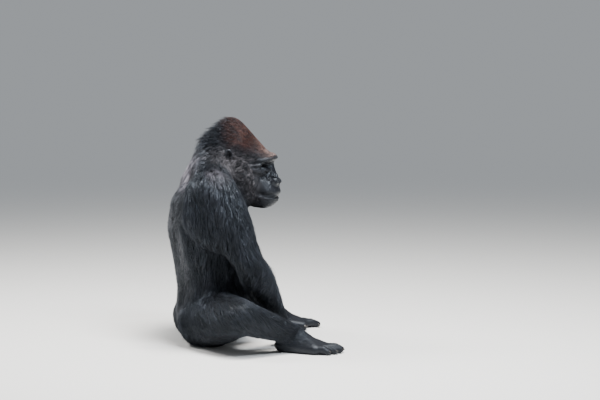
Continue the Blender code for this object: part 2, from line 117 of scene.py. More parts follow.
def evened(values, edges, passes, share=0.5):
    """Each point's value drawn towards its neighbours' mean, share of the way each pass."""
    near, far = edges[:, 0], edges[:, 1]
    size = len(values)
    count = np.bincount(near, minlength=size) + np.bincount(far, minlength=size)
    share = np.broadcast_to(share, (size,))[:, None] / np.maximum(count, 1)[:, None]
    values = values.astype(float)
    for _ in range(passes):
        pull = -count[:, None] * values
        for axis in range(values.shape[1]):
            column = values[:, axis]
            pull[:, axis] += np.bincount(near, column[far], size) + np.bincount(far, column[near], size)
        values = values + share * pull
    return values


def unit(vectors):
    """The vectors at length one."""
    return vectors / np.maximum(np.linalg.norm(vectors, axis=-1, keepdims=True), 1e-9)


def ramp(value, start, end):
    """0 before start, 1 after end, an eased slope between."""
    share = np.clip((value - start) / (end - start), 0, 1)
    return share * share * (3 - 2 * share)


# All solids of flesh, and which one each place of the skin belongs to.
flesh = bmesh.new()
solid_faces, solid_points, face_solid = [], [], []
for number, name in enumerate(flesh_names):
    shape = welded(name)
    start = len(solid_points)
    solid_points += [vert.co.copy() for vert in shape.verts]
    solid_faces += [[vert.index + start for vert in face.verts] for face in shape.faces]
    face_solid += [number] * len(shape.faces)
    for vert in shape.verts:
        vert.co += vert.normal * JOINT_SWELL
    take_in(flesh, shape)
solid_tree = BVHTree.FromPolygons(solid_points, solid_faces)
face_solid = np.array(face_solid)


def solid_at(points):
    """The number of the CAD solid nearest to each point."""
    return face_solid[[solid_tree.find_nearest(point)[2] for point in points]]


# The eyes fill their sockets while the skin is drawn over the face.
SIDE = {"right": -1.0, "left": 1.0}
eye_place = {}
for side in SIDE:
    low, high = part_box("eye_" + side)
    eye_place[side] = (low + high) / 2
    take_in(flesh, welded("eye_" + side))
EYE_RADIUS = (high.z - low.z) / 2

mesh = bpy.data.meshes.new("skin")
flesh.to_mesh(mesh)
flesh.free()
skin = placed("skin", mesh)
drawn = skin.modifiers.new("drawn", "REMESH")
drawn.mode = "VOXEL"
drawn.voxel_size = SKIN_GRAIN
mesh = settled(skin)

# The head's own frame: right, forward and up from a point between the ears.
EYES_FORWARD, EYES_DOWN = 0.1185, 0.041
head_right = (eye_place["right"] - eye_place["left"]).normalized()
head_forward = Vector((0, 0, 1)).cross(head_right)
head_middle = (eye_place["right"] + eye_place["left"]) / 2
head_middle += Vector((0, 0, EYES_DOWN)) - head_forward * EYES_FORWARD
head_axes = np.array([head_right, head_forward, (0, 0, 1)])


def in_head(points):
    """The animal's points in the head's own frame."""
    return (points - np.array(head_middle)) @ head_axes.T


def from_head(points):
    """Points of the head's own frame in the animal's."""
    return np.array(points) @ head_axes + np.array(head_middle)


points = points_of(mesh)
owner = solid_at(points)
solid = {name: number for number, name in enumerate(flesh_names)}


def kind_of(name):
    """A solid's name without its side."""
    return name.rsplit("_", 1)[0] if name.endswith(("_left", "_right")) else name


def over_nodes(numbers, **values):
    """One value for each point, by the kind of solid it belongs to."""
    return np.array([values.get(kind_of(name), values["other"]) for name in flesh_names], float)[numbers]


# The facets of the solids are eased away, least on the face, hands and feet.
FACE_MIDDLE = (0.0, 0.135, -0.090)
FACE_HALF = (0.105, 0.085, 0.125)
EASING_PASSES = 26
edges = edges_of(mesh)
to_face = np.linalg.norm((in_head(points) - FACE_MIDDLE) / FACE_HALF, axis=1)
bareness = 1 - ramp(to_face, 0.80, 1.15)
softness = over_nodes(owner, other=1.0, head=0.7, hand=0.16, foot=0.2, ear=0.06)
softness = evened(softness[:, None], edges, 6)[:, 0] * (1 - 0.8 * bareness)
points = evened(points, edges, EASING_PASSES, 0.5 * softness)
put_points(mesh, points)

# Under the coat the skin needs only broad faces; the face, ears, hands and feet keep theirs.
BROAD_FACES = 34000
detail = over_nodes(owner, other=0.0, head=1.0, hand=1.0, foot=1.0, ear=1.0)
face_front = ramp(in_head(points)[:, 1], 0.045, 0.060)
below_crown = 1 - ramp(in_head(points)[:, 2], 0.020, 0.030)
detail *= np.where(owner == solid["head"], face_front, 1.0)
detail *= np.where(owner == solid["head"], below_crown, 1.0)
detail = evened(detail[:, None], edges, 4)[:, 0]
covered = skin.vertex_groups.new(name="covered")
hidden = np.flatnonzero(detail < 0.02)
covered.add([int(i) for i in hidden], 1.0, "REPLACE")
kept_faces = 2 * len(mesh.polygons) * (1 - len(hidden) / len(points))
thin = skin.modifiers.new("thin", "DECIMATE")
thin.vertex_group = covered.name
thin.ratio = (kept_faces + BROAD_FACES) / (2 * len(mesh.polygons))
mesh = settled(skin)
skin.vertex_groups.clear()


def divided(mesh, chosen):
    """Cuts every edge between two chosen points of the mesh in two."""
    shape = bmesh.new()
    shape.from_mesh(mesh)
    cut = [edge for edge in shape.edges if chosen[edge.verts[0].index] and chosen[edge.verts[1].index]]
    bmesh.ops.subdivide_edges(shape, edges=cut, cuts=1, use_grid_fill=True, smooth=0.7)
    bmesh.ops.triangulate(shape, faces=[face for face in shape.faces if len(face.verts) > 4])
    shape.to_mesh(mesh)
    shape.free()


def from_eye(points):
    """How far each point of the head lies out, forward and up from the eye on its side."""
    return np.column_stack((np.abs(points[:, 0]), points[:, 1:])) - (EYE_OUT, EYES_FORWARD, -EYES_DOWN)


# The face is divided once, its eyes, nose and mouth twice, and the lids three times.
EYE_OUT = (eye_place["right"] - eye_place["left"]).length / 2
NOSE_DOWN, MOUTH_DOWN = 0.098, 0.188
EYE_REACH, LID_REACH = 0.024, 0.0165
points = in_head(points_of(mesh))
to_face = np.linalg.norm((points - FACE_MIDDLE) / (0.080, 0.090, 0.120), axis=1)
divided(mesh, (to_face < 1.0) & (points[:, 1] > 0.095))
points = in_head(points_of(mesh))
out, forward, up = np.abs(points[:, 0]), points[:, 1], points[:, 2]
near_eye = np.linalg.norm(from_eye(points), axis=1) < EYE_REACH
near_nose = (out < 0.050) & (np.abs(up + NOSE_DOWN) < 0.034) & (forward > 0.125)
near_mouth = (out < 0.072) & (np.abs(up + MOUTH_DOWN) < 0.012) & (forward > 0.120)
divided(mesh, near_eye | near_nose | near_mouth)
arm = from_eye(in_head(points_of(mesh)))
divided(mesh, (np.linalg.norm(arm, axis=1) < LID_REACH) & (arm[:, 1] > 0.002))


# ---- The skin: the room it leaves for the coat -------------------------------
# Hair grows over all but the face, ears, fingers, toes, palms and soles: longest on
# the arms, short on the back and shortest on the head. The hide lies that far inside.

# Each guide names a solid, a place in its box (out from the middle, forward, up,
# each 0 to 1), the way the hair runs (out, forward, up), its length and how thick
# the coat lies there, both in millimetres.
BODY_GUIDES = (
    ("chest", (0.0, 0.0, 0.90), (0.00, -0.10, -1.0), 50, 20),
    ("chest", (0.0, 0.0, 0.50), (0.00, 0.00, -1.0), 34, 15),
    ("chest", (0.0, 0.0, 0.10), (0.00, 0.00, -1.0), 30, 13),
    ("chest", (0.65, 0.05, 0.60), (0.12, 0.00, -1.0), 52, 19),
    ("chest", (1.0, 0.45, 0.50), (0.05, -0.10, -1.0), 84, 24),
    ("chest", (1.0, 0.45, 0.05), (0.05, -0.10, -1.0), 84, 24),
    ("chest", (0.3, 1.0, 0.85), (0.45, 0.00, -1.0), 26, 8),
    ("chest", (0.4, 1.0, 0.30), (0.25, 0.00, -1.0), 26, 8),
    ("abdomen", (0.0, 0.0, 0.85), (0.00, 0.00, -1.0), 32, 13),
    ("abdomen", (0.4, 0.0, 0.35), (0.25, 0.00, -1.0), 46, 15),
    ("abdomen", (1.0, 0.35, 0.80), (0.10, 0.00, -1.0), 78, 20),
    ("abdomen", (1.0, 0.35, 0.45), (0.40, 0.10, -1.0), 60, 16),
    ("abdomen", (0.0, 1.0, 0.70), (0.08, 0.00, -1.0), 28, 10),
    ("abdomen", (0.6, 0.95, 0.50), (0.50, 0.00, -1.0), 36, 12),
    ("abdomen", (0.3, 0.6, 0.00), (0.50, 0.30, 0.0), 14, 3),
    ("neck", (0.0, 0.0, 0.80), (0.00, -0.35, -1.0), 46, 20),
    ("neck", (0.8, 0.3, 0.50), (0.55, -0.25, -1.0), 52, 18),
    ("neck", (0.9, 0.8, 0.30), (0.60, 0.00, -1.0), 44, 14),
    ("neck", (0.2, 1.0, 0.10), (0.20, -0.20, -1.0), 28, 9),
    ("upper_arm", (0.35, 0.45, 1.0), (0.80, -0.05, -0.8), 50, 16),
    ("upper_arm", (1.0, 0.40, 0.75), (0.08, -0.05, -1.0), 74, 22),
    ("upper_arm", (0.9, 0.80, 0.30), (0.05, 0.25, -1.0), 78, 22),
    ("upper_arm", (0.6, 0.00, 0.50), (0.08, 0.12, -1.0), 96, 26),
    ("upper_arm", (0.5, 1.00, 0.60), (0.12, 0.25, -1.0), 54, 16),
    ("upper_arm", (0.0, 0.60, 0.40), (0.00, 0.25, -1.0), 32, 10),
    ("forearm", (0.9, 0.15, 0.90), (0.20, -0.30, -1.0), 84, 20),
    ("forearm", (0.7, 0.50, 0.50), (0.45, -0.35, -0.8), 64, 15),
    ("forearm", (0.5, 0.15, 0.45), (0.15, -0.45, -0.9), 76, 16),
    ("forearm", (0.4, 1.00, 0.50), (0.30, 0.10, -0.9), 48, 12),
    ("forearm", (0.0, 0.60, 0.40), (-0.20, 0.10, -1.0), 36, 8),
    ("forearm", (0.1, 0.95, 0.05), (0.25, 0.05, -0.9), 30, 5),
    ("hand", (0.5, 0.30, 0.90), (0.15, 0.25, -1.0), 18, 2.5),
    ("hand", (0.5, 0.80, 0.30), (0.05, 0.20, -1.0), 9, 1),
    ("thigh", (0.2, 0.45, 1.0), (0.70, 0.60, -0.3), 46, 14),
    ("thigh", (0.8, 0.60, 1.0), (0.80, 0.45, -0.5), 46, 12),
    ("thigh", (0.5, 0.00, 0.5), (0.75, 0.10, -0.7), 54, 14),
    ("thigh", (0.5, 0.40, 0.0), (0.70, 0.30, 0.0), 22, 5),
    ("thigh", (0.5, 1.00, 0.5), (0.60, 0.50, -0.6), 36, 10),
    ("shank", (0.9, 0.10, 0.8), (0.15, 0.60, -0.8), 46, 12),
    ("shank", (0.8, 0.50, 0.5), (-0.05, 0.70, -0.8), 52, 13),
    ("shank", (0.4, 0.60, 0.8), (-0.20, 0.80, -0.5), 42, 12),
    ("shank", (0.5, 0.40, 0.1), (-0.20, 0.90, -0.3), 30, 8),
    ("shank", (0.3, 1.00, 0.1), (-0.30, 0.90, -0.3), 26, 5),
    ("foot", (0.5, 0.20, 0.9), (0.00, 1.00, -0.4), 14, 2),
    ("foot", (0.5, 0.80, 0.4), (0.00, 1.00, -0.3), 8, 0.8),
)

# On the head the places are out, forward and up from the point between the ears.
HEAD_GUIDES = (
    ((0.030, 0.150, 0.015), (0.12, -0.75, 0.65), 12, 3),
    ((0.030, 0.105, 0.070), (0.08, -0.70, 0.70), 20, 8),
    ((0.020, 0.040, 0.140), (0.05, -0.65, 0.70), 28, 12),
    ((0.000, -0.030, 0.180), (0.00, -0.95, 0.20), 38, 14),
    ((0.000, -0.100, 0.120), (0.00, -0.75, -0.65), 46, 16),
    ((0.000, -0.160, 0.000), (0.00, -0.35, -1.0), 48, 19),
    ((0.085, 0.055, 0.030), (0.15, -0.85, 0.35), 17, 6),
    ((0.090, 0.000, 0.060), (0.10, -0.95, 0.00), 22, 9),
    ((0.105, -0.060, 0.010), (0.20, -0.80, -0.60), 30, 12),
    ((0.100, -0.020, -0.060), (0.20, -0.60, -0.80), 30, 10),
    ((0.080, 0.080, -0.060), (0.20, -0.70, -0.65), 14, 4),
    ((0.078, 0.070, -0.120), (0.10, -0.60, -0.80), 18, 5),
    ((0.060, 0.030, -0.190), (0.00, -0.60, -0.80), 24, 7),
    ((0.020, 0.120, -0.235), (0.00, -0.60, -0.70), 14, 2.5),
    ((0.000, 0.030, -0.200), (0.00, -0.40, -1.0), 26, 8),
)


def guide_points():
    """Every guide on both sides: its solid, place, way, length and depth, in metres."""
    found = []
    for node, (out, forward, up), way, length, depth in BODY_GUIDES:
        for side, sign in SIDE.items():
            name = node + "_" + side if node + "_" + side in solid else node
            low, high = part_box(name)
            inner, outer = (low.x, high.x) if sign > 0 else (high.x, low.x)
            if name == node:
                inner = (low.x + high.x) / 2
            place = (
                inner + (outer - inner) * out,
                high.y + (low.y - high.y) * forward,
                low.z + (high.z - low.z) * up,
            )
            found.append((solid[name], place, (way[0] * sign, -way[1], way[2]), length, depth))
    for (out, forward, up), way, length, depth in HEAD_GUIDES:
        for sign in (1, -1):
            place = from_head((out * sign, forward, up))
            turned = np.array((way[0] * sign, way[1], way[2])) @ head_axes
            found.append((solid["head"], tuple(place), tuple(turned), length, depth))
    return found


guides = guide_points()
guide_solid = np.array([guide[0] for guide in guides])
guide_place = np.array([guide[1] for guide in guides])
guide_way = unit(np.array([guide[2] for guide in guides]))
guide_size = np.array([guide[3:] for guide in guides]) / 1000
FOREIGN_GUIDE = 0.003  # how little a guide counts on another solid


def combed(points, owner):
    """The way, length and depth of the coat at each point, from the guides around it."""
    way = np.zeros((len(points), 3))
    size = np.zeros((len(points), 2))
    total = np.zeros(len(points))
    for number in range(len(guides)):
        gap = np.linalg.norm(points - guide_place[number], axis=1)
        weight = (gap + 0.01) ** -4.0
        weight *= np.where(owner == guide_solid[number], 1.0, FOREIGN_GUIDE)
        way += weight[:, None] * guide_way[number]
        size += weight[:, None] * guide_size[number]
        total += weight
    return way / total[:, None], size / total[:, None]


# Where the coat ends on the face, as heights and how far forward it comes there. The
# ears, the fingers, the toes and whatever the animal stands and sits on are bare too.
HAIRLINE_UP = (-0.260, -0.235, -0.205, -0.150, -0.090, -0.056, -0.036, -0.018, -0.008, 0.001)
HAIRLINE_FORWARD = (0.150, 0.142, 0.126, 0.112, 0.108, 0.099, 0.090, 0.096, 0.150, 0.210)


def hairiness(points, owner):
    """1 where the coat grows, 0 on bare skin."""
    place = in_head(points)
    line = np.interp(place[:, 2], HAIRLINE_UP, HAIRLINE_FORWARD)
    line += 0.25 * np.clip(0.05 - np.abs(place[:, 0]), 0, 0.05) * (place[:, 2] < -0.02)
    face = ramp(place[:, 1] - line, -0.008, 0.008)
    bare = np.where(owner == solid["head"], face, 0.0)
    for side in SIDE:
        bare[owner == solid["ear_" + side]] = 1.0
        low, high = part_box("hand_" + side)
        rise = (points[:, 2] - low.z) / (high.z - low.z)
        bare = np.where(owner == solid["hand_" + side], 1 - ramp(rise, 0.35, 0.60), bare)
        low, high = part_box("foot_" + side)
        reach = (high.y - points[:, 1]) / (high.y - low.y)
        top = ramp(points[:, 2], 0.030, 0.055) * (1 - ramp(reach + 1.2 * points[:, 2], 0.45, 0.62))
        bare = np.where(owner == solid["foot_" + side], 1 - top, bare)
    return (1 - bare) * ramp(points[:, 2], 0.004, 0.016)


points = points_of(mesh)
edges = edges_of(mesh)
owner = solid_at(points)
hairy = hairiness(points, owner)
field = evened(np.column_stack((combed(points, owner)[1], hairy)), edges, 14)
size, hairy = field[:, :2], field[:, 2]

# The skin sinks by nearly all of the coat's depth, and is eased where it did.
SUNK_SHARE = 0.92
outward = evened(normals_of(mesh), edges, 4)
points = points - unit(outward) * (size[:, 1] * hairy)[:, None] * SUNK_SHARE
points = evened(points, edges, 4, 0.4 * np.clip(hairy, 0, 1))
put_points(mesh, points)


# ---- The skin: the face ------------------------------------------------------
# Bare black skin, thick and folded: a brow bar over deep eyes with heavy lids, broad
# nose wings curled round open nostrils, long lips, and folds that run to the cheeks.


def curve(stations, step=0.0015):
    """Points a step apart on a smooth line through a few stations."""
    stations = np.array(stations, float)
    ends = np.vstack((2 * stations[0] - stations[1], stations, 2 * stations[-1] - stations[-2]))
    line = []
    for before, start, end, after in zip(ends, ends[1:], ends[2:], ends[3:]):
        count = max(2, int(np.linalg.norm(end - start) / step))
        share = np.arange(count)[:, None] / count
        line.append(
            0.5 * (2 * start + (end - before) * share
                   + (2 * before - 5 * start + 4 * end - after) * share ** 2
                   + (3 * start - before - 3 * end + after) * share ** 3)
        )
    return np.vstack(line + [stations[-1:]])


def surface(points):
    """The skin's faces over the points, to find places on them."""
    return BVHTree.FromPolygons([Vector(p) for p in points], [list(f.vertices) for f in mesh.polygons])


head_points = in_head(points_of(mesh))
face_tree = surface(head_points)
out, forward, up = np.abs(head_points[:, 0]), head_points[:, 1], np.abs(head_points[:, 2])
in_reach = np.flatnonzero((out < 0.14) & (up < 0.27) & (forward > -0.06))
shifts = np.zeros(len(head_points))
FROM_FRONT, FROM_SIDE = 0.4, 0.128  # where the lines of sight that find the skin start


def stroke(stations, width, height, seen_from="front", fade=0.35):
    """Raises or sinks a band of the face on both sides; stations are in millimetres.

    Seen from the front they are (out, up); seen from the side, (forward, up)."""
    line = curve(np.array(stations) / 1000)
    found = []
    for first, up in line:
        if seen_from == "front":
            hit = face_tree.ray_cast(Vector((first, FROM_FRONT, up)), Vector((0, -1, 0)))[0]
        else:
            hit = face_tree.ray_cast(Vector((FROM_SIDE, first, up)), Vector((-1, 0, 0)))[0]
        found.append(hit)
    kept = [number for number, hit in enumerate(found) if hit is not None]
    line = np.array([found[number] for number in kept])
    share = np.array(kept) / max(len(found) - 1, 1)
    strength = fade + (1 - fade) * np.clip(4 * share * (1 - share) * 1.6, 0, 1)
    width, height = width / 1000, height / 1000
    place = head_points[in_reach].copy()
    place[:, 0] = np.abs(place[:, 0])
    close = np.all((place > line.min(0) - width) & (place < line.max(0) + width), axis=1)
    gap = np.linalg.norm(place[close][:, None] - line[None], axis=2)
    nearest = gap.argmin(1)
    swell = np.clip(1 - (gap.min(1) / width) ** 2, 0, 1) ** 2 * strength[nearest]
    shifts[in_reach[close]] += height * swell


def raised(points):
    """The head's points moved out from the skin by the strokes drawn so far."""
    normals = unit(evened(normals_of(mesh), edges, 2)) @ head_axes.T
    return points + normals * shifts[:, None]


# The brow bar, the grooves behind its end and the folds between and below the brows.
BROW = ((0, -13), (20, -11), (42, -11), (60, -15), (74, -24))
stroke(BROW, 21, 8.0, fade=0.8)
stroke([(out, up + 29) for out, up in BROW], 14, 3.0, fade=0.8)
head_points[:, 1] += shifts
shifts[:] = 0
stroke(((164, -25), (140, -25), (112, -28), (86, -34)), 9.0, -7.0, "side", 0.5)
stroke(((146, -37), (124, -39), (98, -43)), 6.0, 3.0, "side")
stroke(((146, -48), (128, -49), (102, -52)), 6.5, -4.5, "side")
stroke(((8, 3), (6, -8), (9, -20)), 4.0, -1.6)
stroke(((14, 1), (15, -9), (13, -19)), 4.0, -1.2)
for up in (-28, -35, -43, -52):
    stroke(((0, up), (8, up + 1), (14, up - 2)), 3.0, -1.0)
stroke(((0, -50), (0, -75), (0, -90)), 12, 2.5)

# Pouches and folds below the eye, and creases at its outer corner.
stroke(((32, -61), (44, -65), (58, -57)), 6.0, 2.0)
stroke(((30, -69), (45, -73), (61, -65)), 4.0, -2.6)
stroke(((36, -80), (50, -84), (66, -74)), 4.0, -2.2)
stroke(((44, -92), (57, -95), (72, -84)), 4.0, -1.6)
stroke(((62, -38), (70, -35), (80, -30)), 3.2, -1.8)
stroke(((62, -45), (71, -46), (82, -45)), 3.2, -1.8)
stroke(((60, -52), (69, -56), (80, -60)), 3.2, -1.8)
stroke(((54, -74), (66, -70), (76, -62)), 15, 3.0)

# The nose: a wing that runs from the bridge, out and round the nostril.
WING = ((15, -62), (22, -74), (31, -86), (37, -98), (36, -110), (28, -121), (14, -122))
stroke(WING, 8.5, 6.0, fade=0.4)
stroke(((36, -78), (45, -90), (50, -104), (47, -118)), 8.0, -3.0)
stroke(((0, -84), (5, -90), (7, -98), (6, -108)), 7.0, 3.5)
stroke(((12, -76), (16, -86), (18, -92)), 4.5, -2.5)
stroke(((0, -98), (0, -110), (0, -136)), 3.6, -2.5)

# The lips: a long closed mouth, rolled at its edges, fine upright wrinkles above.
MOUTH = ((0, -189), (18, -190), (34, -190), (48, -189), (57, -187))
stroke([(out, up + 1) for out, up in MOUTH[1:]], 17.0, 10.0, fade=0.7)
for number in range(10):
    out = 3 + 5.9 * number + 1.8 * math.sin(2.6 * number)
    top = -150 - 8 * math.sin(1.7 * number)
    stroke(((out, top), (out * 1.03, -165), (out * 1.06, -178)), 2.4, -0.8)
    stroke(((out * 0.95, -199), (out, -207), (out, -214)), 2.4, -0.7)
stroke(((0, -214), (24, -213), (42, -207)), 5.5, -2.4)
stroke(((69, -170), (75, -186), (74, -204)), 5.0, -2.2)
stroke(((58, -92), (68, -116), (72, -140), (70, -162)), 6.5, -4.0)
stroke(((70, -92), (79, -116), (82, -144)), 11, 3.0)
stroke(((46, -130), (54, -144), (56, -160)), 4.0, -1.2)

# The ears: a hollow, and the upper roll of its rim.
stroke(((-8, -5), (-9, 9)), 10, -6.0, "side", 0.8)
stroke(((-14, 7), (-11, 20)), 4.5, 2.5, "side")
head_points = raised(head_points)

# The line where the lips meet is pressed in last, over the filled muzzle.
face_tree = surface(head_points)
shifts[:] = 0
stroke([(out, up + 7) for out, up in MOUTH], 6.5, 1.6, fade=0.6)
stroke([(out, up - 7) for out, up in MOUTH], 7.0, 2.2, fade=0.6)
stroke(MOUTH, 3.4, -4.2, fade=0.5)
head_points = raised(head_points)

# The nostrils open forward and a little out, as deep as a fingertip.
NOSTRIL = (0.0215, -0.1005)
NOSTRIL_HALF = (0.0095, 0.0080)
NOSTRIL_DEPTH = 0.016
across = ((np.abs(head_points[:, 0]) - NOSTRIL[0]) / NOSTRIL_HALF[0]) ** 2
across += ((head_points[:, 2] - NOSTRIL[1]) / NOSTRIL_HALF[1]) ** 2
hole = np.where(head_points[:, 1] > 0.150, np.clip(1 - across, 0, 1) ** 0.6, 0)
head_points[:, 1] -= NOSTRIL_DEPTH * hole

# The hollow round each eye: how far forward the skin lies there, in millimetres, by
# rows going down and columns going out. It slopes from the brow and bridge to the lids.
HOLLOW_UP = (-26, -33, -41, -49, -57, -67)
HOLLOW_OUT = (0, 9, 17, 25, 33, 42, 50, 58, 66)
HOLLOW_FORWARD = (
    (187, 185, 180, 175, 172, 169, 165, 158, 148),
    (176, 172, 163, 152, 147, 146, 145, 141, 134),
    (177, 172, 159, 144, 136, 135, 137, 135, 129),
    (180, 176, 166, 155, 149, 148, 147, 143, 135),
    (183, 180, 173, 166, 163, 161, 158, 152, 142),
    (187, 183, 177, 173, 171, 166, 160, 152, 140),
)
out, front, up = np.abs(head_points[:, 0]) * 1000, head_points[:, 1] * 1000, head_points[:, 2] * 1000

# The roof of the hollow first tips down, so that no pocket is left behind the brow.
roof = (front < 174) & (front > 60) & (up > -29) & (up < -12)
wall = (front < 160) & (front > 60) & (up <= -29) & (up > -41)
lower = np.where(roof, -26 - 7 * np.clip((172 - front) / 42, 0, 1), up)
lower = np.where(wall, -41 + (up + 41) * 8 / 12, lower)
middle = ramp(out, 12, 20) * (1 - ramp(out, 52, 62))
up = up + (lower - up) * middle
head_points[:, 2] = up / 1000
rows = np.array([np.interp(out, HOLLOW_OUT, row) for row in HOLLOW_FORWARD])
row = np.interp(-up, [-value for value in HOLLOW_UP], range(len(HOLLOW_UP)))
row = np.clip(row, 0, len(HOLLOW_UP) - 1.001)
low_row = row.astype(int)
part_row = row - low_row
column = np.arange(len(out))
hollow = rows[low_row, column] * (1 - part_row) + rows[low_row + 1, column] * part_row
inside = ramp(-up, 21, 29) * (1 - ramp(-up, 60, 74)) * (1 - ramp(out, 56, 68)) * ramp(out, 5, 12)
inside = np.maximum(inside, middle * roof) * (head_points[:, 1] > 0.060)
head_points[:, 1] += (hollow / 1000 - head_points[:, 1]) * inside
soft = evened(inside[:, None], edges, 6)[:, 0]
head_points = evened(head_points, edges, 14, 0.5 * np.clip(soft * 1.6, 0, 1))

# Each lid is the skin drawn round the eyeball, a little proud of it, and parted.
OPENING_HALF = math.radians(66)
UPPER_LID, LOWER_LID = math.radians(27), math.radians(25)
OPENING_OUT = math.radians(4)  # how far the opening's middle lies out from straight ahead
OPENING_SLANT = 0.035
LID_THICKNESS = 0.0018
EDGE_CATCH = 3.0  # degrees within which a point moves onto the lid's edge
LIDS_REACH = 0.030
for sign in (1, -1):
    eye = np.array((EYE_OUT * sign, EYES_FORWARD, -EYES_DOWN))
    arm = head_points - eye
    reach = np.linalg.norm(arm, axis=1)
    near = np.flatnonzero((reach < LIDS_REACH) & (arm[:, 1] > -0.004))
    arm, reach = arm[near], reach[near]
    swing = np.arctan2(arm[:, 0] * sign, arm[:, 1]) - OPENING_OUT
    rise = np.arcsin(np.clip(arm[:, 2] / reach, -1, 1))
    width = np.clip(1 - (swing / OPENING_HALF) ** 2, 0, 1)
    upper = UPPER_LID * width ** 0.75 + OPENING_SLANT * swing
    lower = -LOWER_LID * width ** 0.9 + OPENING_SLANT * swing
    limits = np.array((rise - upper, lower - rise, np.abs(swing) - OPENING_HALF))
    past = np.degrees(limits.max(0))
    caught = np.abs(past) < EDGE_CATCH
    rise = rise - np.where(caught, np.radians(past) * np.array((1, -1, 0))[limits.argmax(0)], 0)
    past = np.where(caught, 0, past)
    swing = swing + OPENING_OUT
    level = np.cos(rise)
    way_out = np.column_stack((np.sin(swing) * level * sign, np.cos(swing) * level, np.sin(rise)))
    lid = EYE_RADIUS + LID_THICKNESS + 0.00004 * np.clip(past, 0, 40)
    lid = np.where(past < 0, EYE_RADIUS * 0.86, lid)
    hold = 1 - ramp(past, 8, 44)
    head_points[near] = eye + way_out * (reach * (1 - hold) + hold * lid)[:, None]
    lid_rim = np.zeros(len(head_points))
    lid_rim[near] = ramp(past, 6, 14) * (1 - ramp(reach, 0.024, LIDS_REACH))
    head_points = evened(head_points, edges, 10, 0.5 * lid_rim)

# Folds of thin skin above and below the lids, and fans at their corners.
face_tree = surface(head_points)
shifts[:] = 0
stroke(((24, -46), (32, -51), (41, -53), (51, -50)), 2.6, -1.5)
stroke(((26, -52), (34, -58), (44, -60), (54, -55)), 3.0, -1.6)
stroke(((30, -60), (41, -67), (53, -65)), 4.5, 1.8)
stroke(((55, -44), (61, -45), (69, -43)), 2.2, -1.2)
stroke(((54, -48), (60, -51), (68, -53)), 2.2, -1.2)
stroke(((53, -52), (58, -58), (66, -63)), 2.2, -1.2)
put_points(mesh, from_head(head_points))
points = from_head(raised(head_points))
ABOVE_FLOOR = 0.0003
points[:, 2] = np.maximum(points[:, 2], ABOVE_FLOOR)
put_points(mesh, points)


# ---- The skin: fingers and toes ----------------------------------------------
# Bare black hide too, thick and hard on the knuckles and soles, and grooved where
# the fingers and toes press together.

# Where each wrist and ankle stands in from its solid's outer side and back, and how
# far the hand or foot is turned out, in metres and degrees.
STANDS = {
    "hand_right": (0.040, 0.039, -26), "hand_left": (0.040, 0.039, -20),
    "foot_right": (0.136, 0.084, 18), "foot_left": (0.136, 0.084, 12),
}
# The grooves of each, as (out, forward) of their two ends in its own frame.
GROOVES = {
    "hand": (
        ((-0.030, 0.045), (-0.030, 0.125)),
        ((0.001, 0.045), (0.001, 0.125)),
        ((0.029, 0.045), (0.029, 0.120)),
    ),
    "foot": (
        ((-0.0045, 0.160), (-0.005, 0.235)),
        ((0.0255, 0.150), (0.0285, 0.225)),
        ((0.0520, 0.135), (0.0590, 0.200)),
    ),
}
GROOVE_HALF, GROOVE_DEPTH = 0.0055, 0.0060


def stand_of(name):
    """The foot of a wrist or ankle on the floor, and the axes out, forward and up there."""
    in_from_side, in_from_back, turn = STANDS[name]
    sign = SIDE[name.split("_")[1]]
    low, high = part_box(name)
    outer = low.x if sign < 0 else high.x
    turn = math.radians(turn)
    forward = (math.sin(turn) * sign, -math.cos(turn), 0)
    outwards = (math.cos(turn) * sign, math.sin(turn), 0)
    stand = Vector((outer - sign * in_from_side, high.y - in_from_back, 0))
    return stand, Matrix((outwards, forward, (0, 0, 1))).transposed()


points = points_of(mesh)
outward = unit(evened(normals_of(mesh), edges, 2))
for name in STANDS:
    stand, axes = stand_of(name)
    own = np.flatnonzero(owner == solid[name])
    local = (points[own] - np.array(stand)) @ np.array(axes)
    groove = np.zeros(len(own))
    for start, end in np.array(GROOVES[name.split("_")[0]]):
        run = end - start
        share = np.clip((local[:, :2] - start) @ run / (run @ run), 0, 1)
        gap = np.linalg.norm(local[:, :2] - start - share[:, None] * run, axis=1)
        groove = np.maximum(groove, np.exp(-((gap / GROOVE_HALF) ** 2)) * ramp(share, 0.0, 0.35))
    points[own] -= outward[own] * (groove * GROOVE_DEPTH)[:, None]
points[:, 2] = np.maximum(points[:, 2], ABOVE_FLOOR)
put_points(mesh, points)


# ---- The skin: markings and hide ---------------------------------------------
# Coat and hide share their markings: black, grey over the loins and on the mantle,
# brown grey on neck and cheeks, chestnut on the crown, and a painted sheen of pale grey on
# top of both shoulders. Bare hide is black, creased and finely pored, and glossier on the muzzle.

BLACK_COAT = (0.0060, 0.0064, 0.0084)
CHESTNUT = (0.031, 0.0098, 0.0048)
TAWNY = (0.062, 0.034, 0.027)
BROWN_GREY = (0.104, 0.096, 0.102)
BROW_GREY = (0.120, 0.088, 0.080)
# The mantle's grey, used again for the painted sheen on top of the shoulders.
MANTLE_AND_SHEEN_GREY = (0.205, 0.190, 0.218)
LOIN_GREY = (0.110, 0.112, 0.120)


def fed(node, inputs):
    """The node with each input set to a value, or joined to the socket that feeds it."""
    for key, value in inputs.items():
        if isinstance(value, bpy.types.NodeSocket):
            node.id_data.links.new(value, node.inputs[key])
        else:
            node.inputs[key].default_value = value
    return node


def shading(tree, kind, inputs=None, **settings):
    """A new shader node with its settings first and then its inputs."""
    node = tree.nodes.new("ShaderNode" + kind)
    for key, value in settings.items():
        setattr(node, key, value)
    return fed(node, inputs or {})


def finish(name, even):
    """A new material with its nodes and its shader; even holds what is the same all over."""
    made = bpy.data.materials.new(name)
    made.use_nodes = True
    shader = made.node_tree.nodes["Principled BSDF"]
    return made, made.node_tree, fed(shader, even)


FRAYING = 0.5
PATCH_END = 1 + FRAYING / 2  # at its half size, with the fraying's usual amount added


